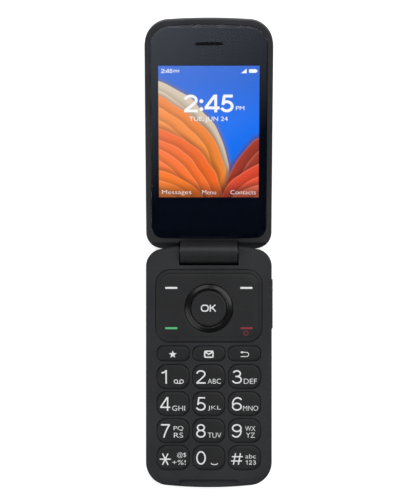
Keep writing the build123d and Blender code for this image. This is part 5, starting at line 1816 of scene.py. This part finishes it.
# ---------------------------------------------------------------- back of the lid
@dataclass
class LidBack:
    """Camera's glass and the dark border under the outer window."""

    plane: LidPlane
    centre: float = 66.0
    width: float = 35.0
    height: float = 52.0
    corner: float = 6.0
    outer_face: float = -11.3
    thickness: float = 0.7
    screen_centre: float = 57.5
    screen_half: float = 13.5
    screen_corner: float = 0.6
    camera_y: float = 82.0
    camera_ring: float = 3.2
    flash_x: float = 9.0
    flash_radius: float = 1.5
    border_gap: float = 0.1
    border_depths: tuple[float, float] = (-0.04, -0.01)
    glass_inset: float = 1.0
    glass_sink: float = 0.35
    glass_edge: float = 0.12
    glass_bulge: float = 0.18

    def build(self) -> None:
        """Make the border and the camera's glass."""
        low, high = (self.outer_face + self.thickness + depth for depth in self.border_depths)
        half_x, half_y = self.width / 2 - self.border_gap, self.height / 2 - self.border_gap
        outline = rounded_outline(half_x, half_y, self.corner, side=4, bend=12)[0] + (0.0, self.centre)
        half = self.screen_half
        screen = rounded_outline(half, half, self.screen_corner, side=4, bend=5)[0]
        screen = screen + (0.0, self.screen_centre)
        camera = disc(self.camera_ring + self.border_gap / 2, 0.0, self.camera_y, 48)
        flash = disc(self.flash_radius, self.flash_x, self.camera_y, 32)
        border = plate([outline, screen, camera, flash], low, high)
        piece("outer_border", self.plane.carry(border), Finish.OUTER_MASK.material(), "lid", "lens")
        self.camera_glass()

    def camera_glass(self) -> None:
        """Bulging front glass of the camera.

        It stands out over its rim by the bulge times one minus the square of the share of the radius.
        """
        rim = self.camera_ring - self.glass_inset
        radii = np.linspace(rim, 0.2, 10)
        bulge = [(float(r), float(self.glass_bulge * (1 - (r / rim) ** 2))) for r in radii]
        shape = turned([(rim, -self.glass_edge)] + bulge, 64)
        place = np.array((0, self.camera_y, self.outer_face + self.glass_sink))
        flipped = shape.points * np.array((1, -1, -1)) + place
        glass = Shape(flipped, shape.faces)
        piece("camera_glass", self.plane.carry(glass), Finish.GLOSS.material(), "lid", "lens")


# ---------------------------------------------------------------- finishes of the frame's own nodes
@dataclass
class Dressing:
    """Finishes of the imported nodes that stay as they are."""

    finishes: dict[str, Finish] = field(default_factory=lambda: {
        "base_front_housing": Finish.HOUSING, "base_rear_housing": Finish.HOUSING,
        "lid_inner_housing": Finish.HOUSING, "lid_outer_housing": Finish.LID_BACK,
        "battery_cover": Finish.COVER, "battery_pack": Finish.FOIL, "battery_contacts": Finish.BRASS,
        "keypad_mat": Finish.SILICONE, "dome_sheet": Finish.FILM, "main_board": Finish.BOARD,
        "board_shield": Finish.TINNED, "card_reader": Finish.TINNED, "vibration_motor": Finish.STEEL,
        "microphone": Finish.TINNED, "loudspeaker": Finish.DARK_PLASTIC,
        "headphone_socket": Finish.DARK_PLASTIC,
        "usb_socket": Finish.STEEL, "side_key_switches": Finish.FILM, "base_screws": Finish.DARK_METAL,
        "volume_key": Finish.SIDE_KEY, "nav_ring_seat": Finish.RUBBER, "hinge_cam_shaft": Finish.DARK_METAL,
        "hinge_pivot_tube": Finish.DARK_METAL, "hinge_flex": Finish.FILM, "screen_lens": Finish.GLASS,
        "screen_module": Finish.DARK_SCREEN, "screen_frame": Finish.STEEL, "earpiece": Finish.DARK_METAL,
        "earpiece_mesh": Finish.CLOTH, "lid_board": Finish.BOARD, "outer_screen": Finish.DARK_SCREEN,
        "outer_lens": Finish.GLASS, "camera_module": Finish.DARK_METAL, "flash_lamp": Finish.LAMP,
        "lid_magnet": Finish.STEEL, "lid_screws": Finish.DARK_METAL, "hinge_can": Finish.DARK_METAL,
        "hinge_spring": Finish.STEEL, "hinge_cam_follower": Finish.STEEL,
    })

    def build(self) -> None:
        """Give every node its finish; the replaced ones keep the matt of the keys."""
        for name, node in frame["nodes"].items():
            finish = self.finishes.get(name, Finish.KEY)
            material = finish.material()
            node.data.materials.clear()
            node.data.materials.append(material)
            log.info("node %s: %s", name, material.name)


# ---------------------------------------------------------------- stage
@dataclass
class Stage:
    """Pale floor, soft boxes, dim room and camera. Sizes are metres.

    A brightness of 1 is that of white paper in full light. The card's places are (y, z), and its two
    ramps are a factor and a start for the height and for the width of its UV map.
    """

    room: float = 0.15
    ground: tuple[float, float] = (0.05, 0.2)
    floor_size: float = 8.0
    floor_drop: float = 0.0002
    floor_light: float = 0.67
    floor_tones: tuple[float, float] = (0.78, 0.8)
    light_distance: float = 0.85
    target: tuple[float, float, float] = (0.0, 0.03, 0.01)
    card: float = 1.6
    card_colour: Colour = (0.80, 0.87, 1.0)
    card_top: tuple[float, float] = (-0.125, 0.572)
    card_low: tuple[float, float] = (-0.413, 0.437)
    card_half: float = 0.11
    card_down: tuple[float, float] = (-2.008, 1.892)
    card_across: tuple[float, float] = (0.897, -0.274)
    card_fall: float = 1.2
    card_most: float = 1.1
    camera_place: tuple[float, float, float] = (-0.00015, 0.05046, 0.8904)
    camera_lens: float = 145.86

    def floor(self) -> None:
        """White floor that keeps the object's shadow. From below, and for a light below, it is clear."""
        g = Graph("pale_floor")
        paths = g.add("ShaderNodeLightPath").outputs
        seen = paths["Is Camera Ray"]
        tone = g.spread(g.noise(g.place(), 3.0), 0.3, 0.7, 0.0, 1.0)
        pale = g.blend(tone, *((grey, grey, grey) for grey in self.floor_tones))
        matt = g.add("ShaderNodeBsdfDiffuse", {"Color": pale}).outputs[0]
        glow = {"Color": (1.0, 1.0, 1.0), "Strength": self.floor_light}
        lift = g.add("ShaderNodeEmission", glow).outputs[0]
        lit = g.add("ShaderNodeAddShader", {0: matt, 1: lift}).outputs[0]
        front = g.add("ShaderNodeMixShader", {0: seen, 1: matt, 2: lit}).outputs[0]
        clear = g.add("ShaderNodeBsdfTransparent").outputs[0]
        back = g.add("ShaderNodeNewGeometry").outputs["Backfacing"]
        through = g.maths("MAXIMUM", back, paths["Is Shadow Ray"])
        finish = g.close(g.add("ShaderNodeMixShader", {0: through, 1: front, 2: clear}).outputs[0])
        half = self.floor_size / 2
        mesh = bpy.data.meshes.new("floor")
        corners = [(-half, -half, 0), (half, -half, 0), (half, half, 0), (-half, half, 0)]
        mesh.from_pydata(corners, [], [(0, 1, 2, 3)])
        mesh.materials.append(finish)
        floor = bpy.data.objects.new("floor", mesh)
        floor.location.z = -self.floor_drop
        bpy.context.scene.collection.objects.link(floor)

    def soft_box(
        self, name: str, azimuth: float, zenith: float, size: tuple[float, float], radiance: float
    ) -> bpy.types.Object:
        """Area light aimed at the phone.

        Args:
            name: name of the light.
            azimuth: degrees clockwise from +Y, seen from above.
            zenith: degrees off straight up.
            size: width and height in metres.
            radiance: brightness of its face, where white paper in full light is 1.

        Returns:
            The light's object.
        """
        light = bpy.data.lights.new(name, "AREA")
        light.shape = "RECTANGLE"
        light.size, light.size_y = size
        light.energy = radiance * size[0] * size[1] * math.pi
        holder = bpy.data.objects.new(name, light)
        a, z = math.radians(azimuth), math.radians(zenith)
        away = np.array((math.sin(z) * math.sin(a), math.sin(z) * math.cos(a), math.cos(z)))
        holder.location = np.array(self.target) + away * self.light_distance
        holder.rotation_mode = "QUATERNION"
        holder.rotation_quaternion = Vector(away).to_track_quat("Z", "Y")
        holder.visible_camera = False
        bpy.context.scene.collection.objects.link(holder)
        return holder

    def spare_window(self, light: bpy.types.Object) -> None:
        """Keep a low light out of the lid's window, which would mirror it over the picture.

        Args:
            light: the light's object.
        """
        spared = bpy.data.collections.new(f"{light.name}_spares")
        spared.objects.link(frame["nodes"]["screen_lens"])
        light.light_linking.receiver_collection = spared
        spared.collection_objects[0].light_linking.link_state = "EXCLUDE"

    def window_card(self) -> None:
        """Lit card that the lid's window mirrors. Its lower part is black.

        Its brightness falls evenly along a slanted line, from the card's upper left, which the
        window's upper left mirrors, to nothing. It is one less `card_fall` times the sum of the two
        ramps, held between nothing and `card_most`.
        """
        g = Graph("lit_card")
        parts = g.split(g.uv())
        down = g.maths("MULTIPLY_ADD", parts[1], *self.card_down)
        slanted = g.maths("MULTIPLY_ADD", parts[0], *self.card_across)
        fall = g.maths("MULTIPLY_ADD", g.maths("ADD", down, slanted), -self.card_fall, 1.0)
        level = g.maths("MINIMUM", g.maths("MAXIMUM", fall, 0.0), self.card_most)
        glow = {"Color": self.card_colour, "Strength": g.maths("MULTIPLY", level, self.card)}
        finish = g.close(g.add("ShaderNodeEmission", glow).outputs[0])
        mesh = bpy.data.meshes.new("lit_card")
        (top_y, top_z), (low_y, low_z), x = self.card_top, self.card_low, self.card_half
        corners = [(-x, low_y, low_z), (-x, top_y, top_z), (x, top_y, top_z), (x, low_y, low_z)]
        mesh.from_pydata(corners, [], [(0, 1, 2, 3)])
        layer = mesh.uv_layers.new(name="card")
        layer.data.foreach_set("uv", np.array([0, 0, 0, 1, 1, 1, 1, 0], np.float32))
        mesh.materials.append(finish)
        card = bpy.data.objects.new("lit_card", mesh)
        card.visible_camera = False
        card.visible_shadow = False
        bpy.context.scene.collection.objects.link(card)

    def world(self) -> None:
        """Dim even room, white for whoever looks, and white near the ground for gloss and glass.

        The height of a direction is the z of its unit vector: below the first height of `ground`
        gloss and glass see white, above the second the room, with a smooth passage between.
        """
        world = bpy.data.worlds.new("room")
        world.use_nodes = True
        tree = world.node_tree
        tree.nodes.clear()

        def value(kind: str, settings: dict[str, str], *inputs: Value) -> bpy.types.Node:
            """Add a node and set or join its first inputs.

            Args:
                kind: type of the node.
                settings: its properties.
                *inputs: value or output socket for each of its first inputs.

            Returns:
                The node.
            """
            node = tree.nodes.new(kind)
            for key, setting in settings.items():
                setattr(node, key, setting)
            for socket, given in zip(node.inputs, inputs):
                if isinstance(given, bpy.types.NodeSocket):
                    tree.links.new(given, socket)
                else:
                    socket.default_value = given
            return node

        paths = tree.nodes.new("ShaderNodeLightPath").outputs
        aim = tree.nodes.new("ShaderNodeTexCoord").outputs["Generated"]
        height = value("ShaderNodeSeparateXYZ", {}, aim).outputs[2]
        smooth = {"interpolation_type": "SMOOTHSTEP"}
        ground = value("ShaderNodeMapRange", smooth, height, *self.ground, 1.0, 0.0).outputs[0]
        maximum, product = {"operation": "MAXIMUM"}, {"operation": "MULTIPLY"}
        rays = paths["Is Glossy Ray"], paths["Is Transmission Ray"]
        gloss = value("ShaderNodeMath", maximum, *rays).outputs[0]
        low = value("ShaderNodeMath", product, gloss, ground).outputs[0]
        seen = value("ShaderNodeMath", maximum, paths["Is Camera Ray"], low).outputs[0]
        level = value("ShaderNodeMapRange", {}, seen, 0.0, 1.0, self.room, 1.0).outputs[0]
        glow = value("ShaderNodeBackground", {}, (1.0, 1.0, 1.0, 1.0), level)
        value("ShaderNodeOutputWorld", {}, glow.outputs[0])
        bpy.context.scene.world = world

    def camera(self) -> None:
        """Camera straight above the phone."""
        data = bpy.data.cameras.new("camera")
        data.sensor_width = 36.0
        data.lens = self.camera_lens
        data.clip_start, data.clip_end = 0.01, 50.0
        holder = bpy.data.objects.new("camera", data)
        holder.location = self.camera_place
        bpy.context.scene.collection.objects.link(holder)
        bpy.context.scene.camera = holder

    def build(self) -> None:
        """Set up the whole stage."""
        self.camera()
        self.world()
        self.floor()
        self.soft_box("box_right", 50.0, 40.0, (0.6, 0.6), 3.6)
        self.soft_box("box_upper_left", -22.0, 36.0, (0.35, 0.35), 3.0)
        self.soft_box("box_lower_left", 236.0, 50.0, (0.6, 0.6), 2.5)
        self.spare_window(self.soft_box("strip_right", 96.0, 74.0, (0.14, 0.5), 2.4))
        self.spare_window(self.soft_box("strip_left", 262.0, 74.0, (0.14, 0.5), 1.6))
        self.soft_box("box_below", 0.0, 180.0, (1.0, 1.0), 3.0)
        self.window_card()
        bpy.context.scene.view_settings.view_transform = "Standard"


def main() -> None:
    """Build the phone's dress and the stage."""
    lid = LidPlane.from_frame()
    Dressing().build()
    Keypad().build()
    NavigationPanel().build()
    ScreenHalf(lid).build()
    LidBack(lid).build()
    Stage().build()
    bpy.context.view_layer.update()


if __name__ == "__main__":
    main()
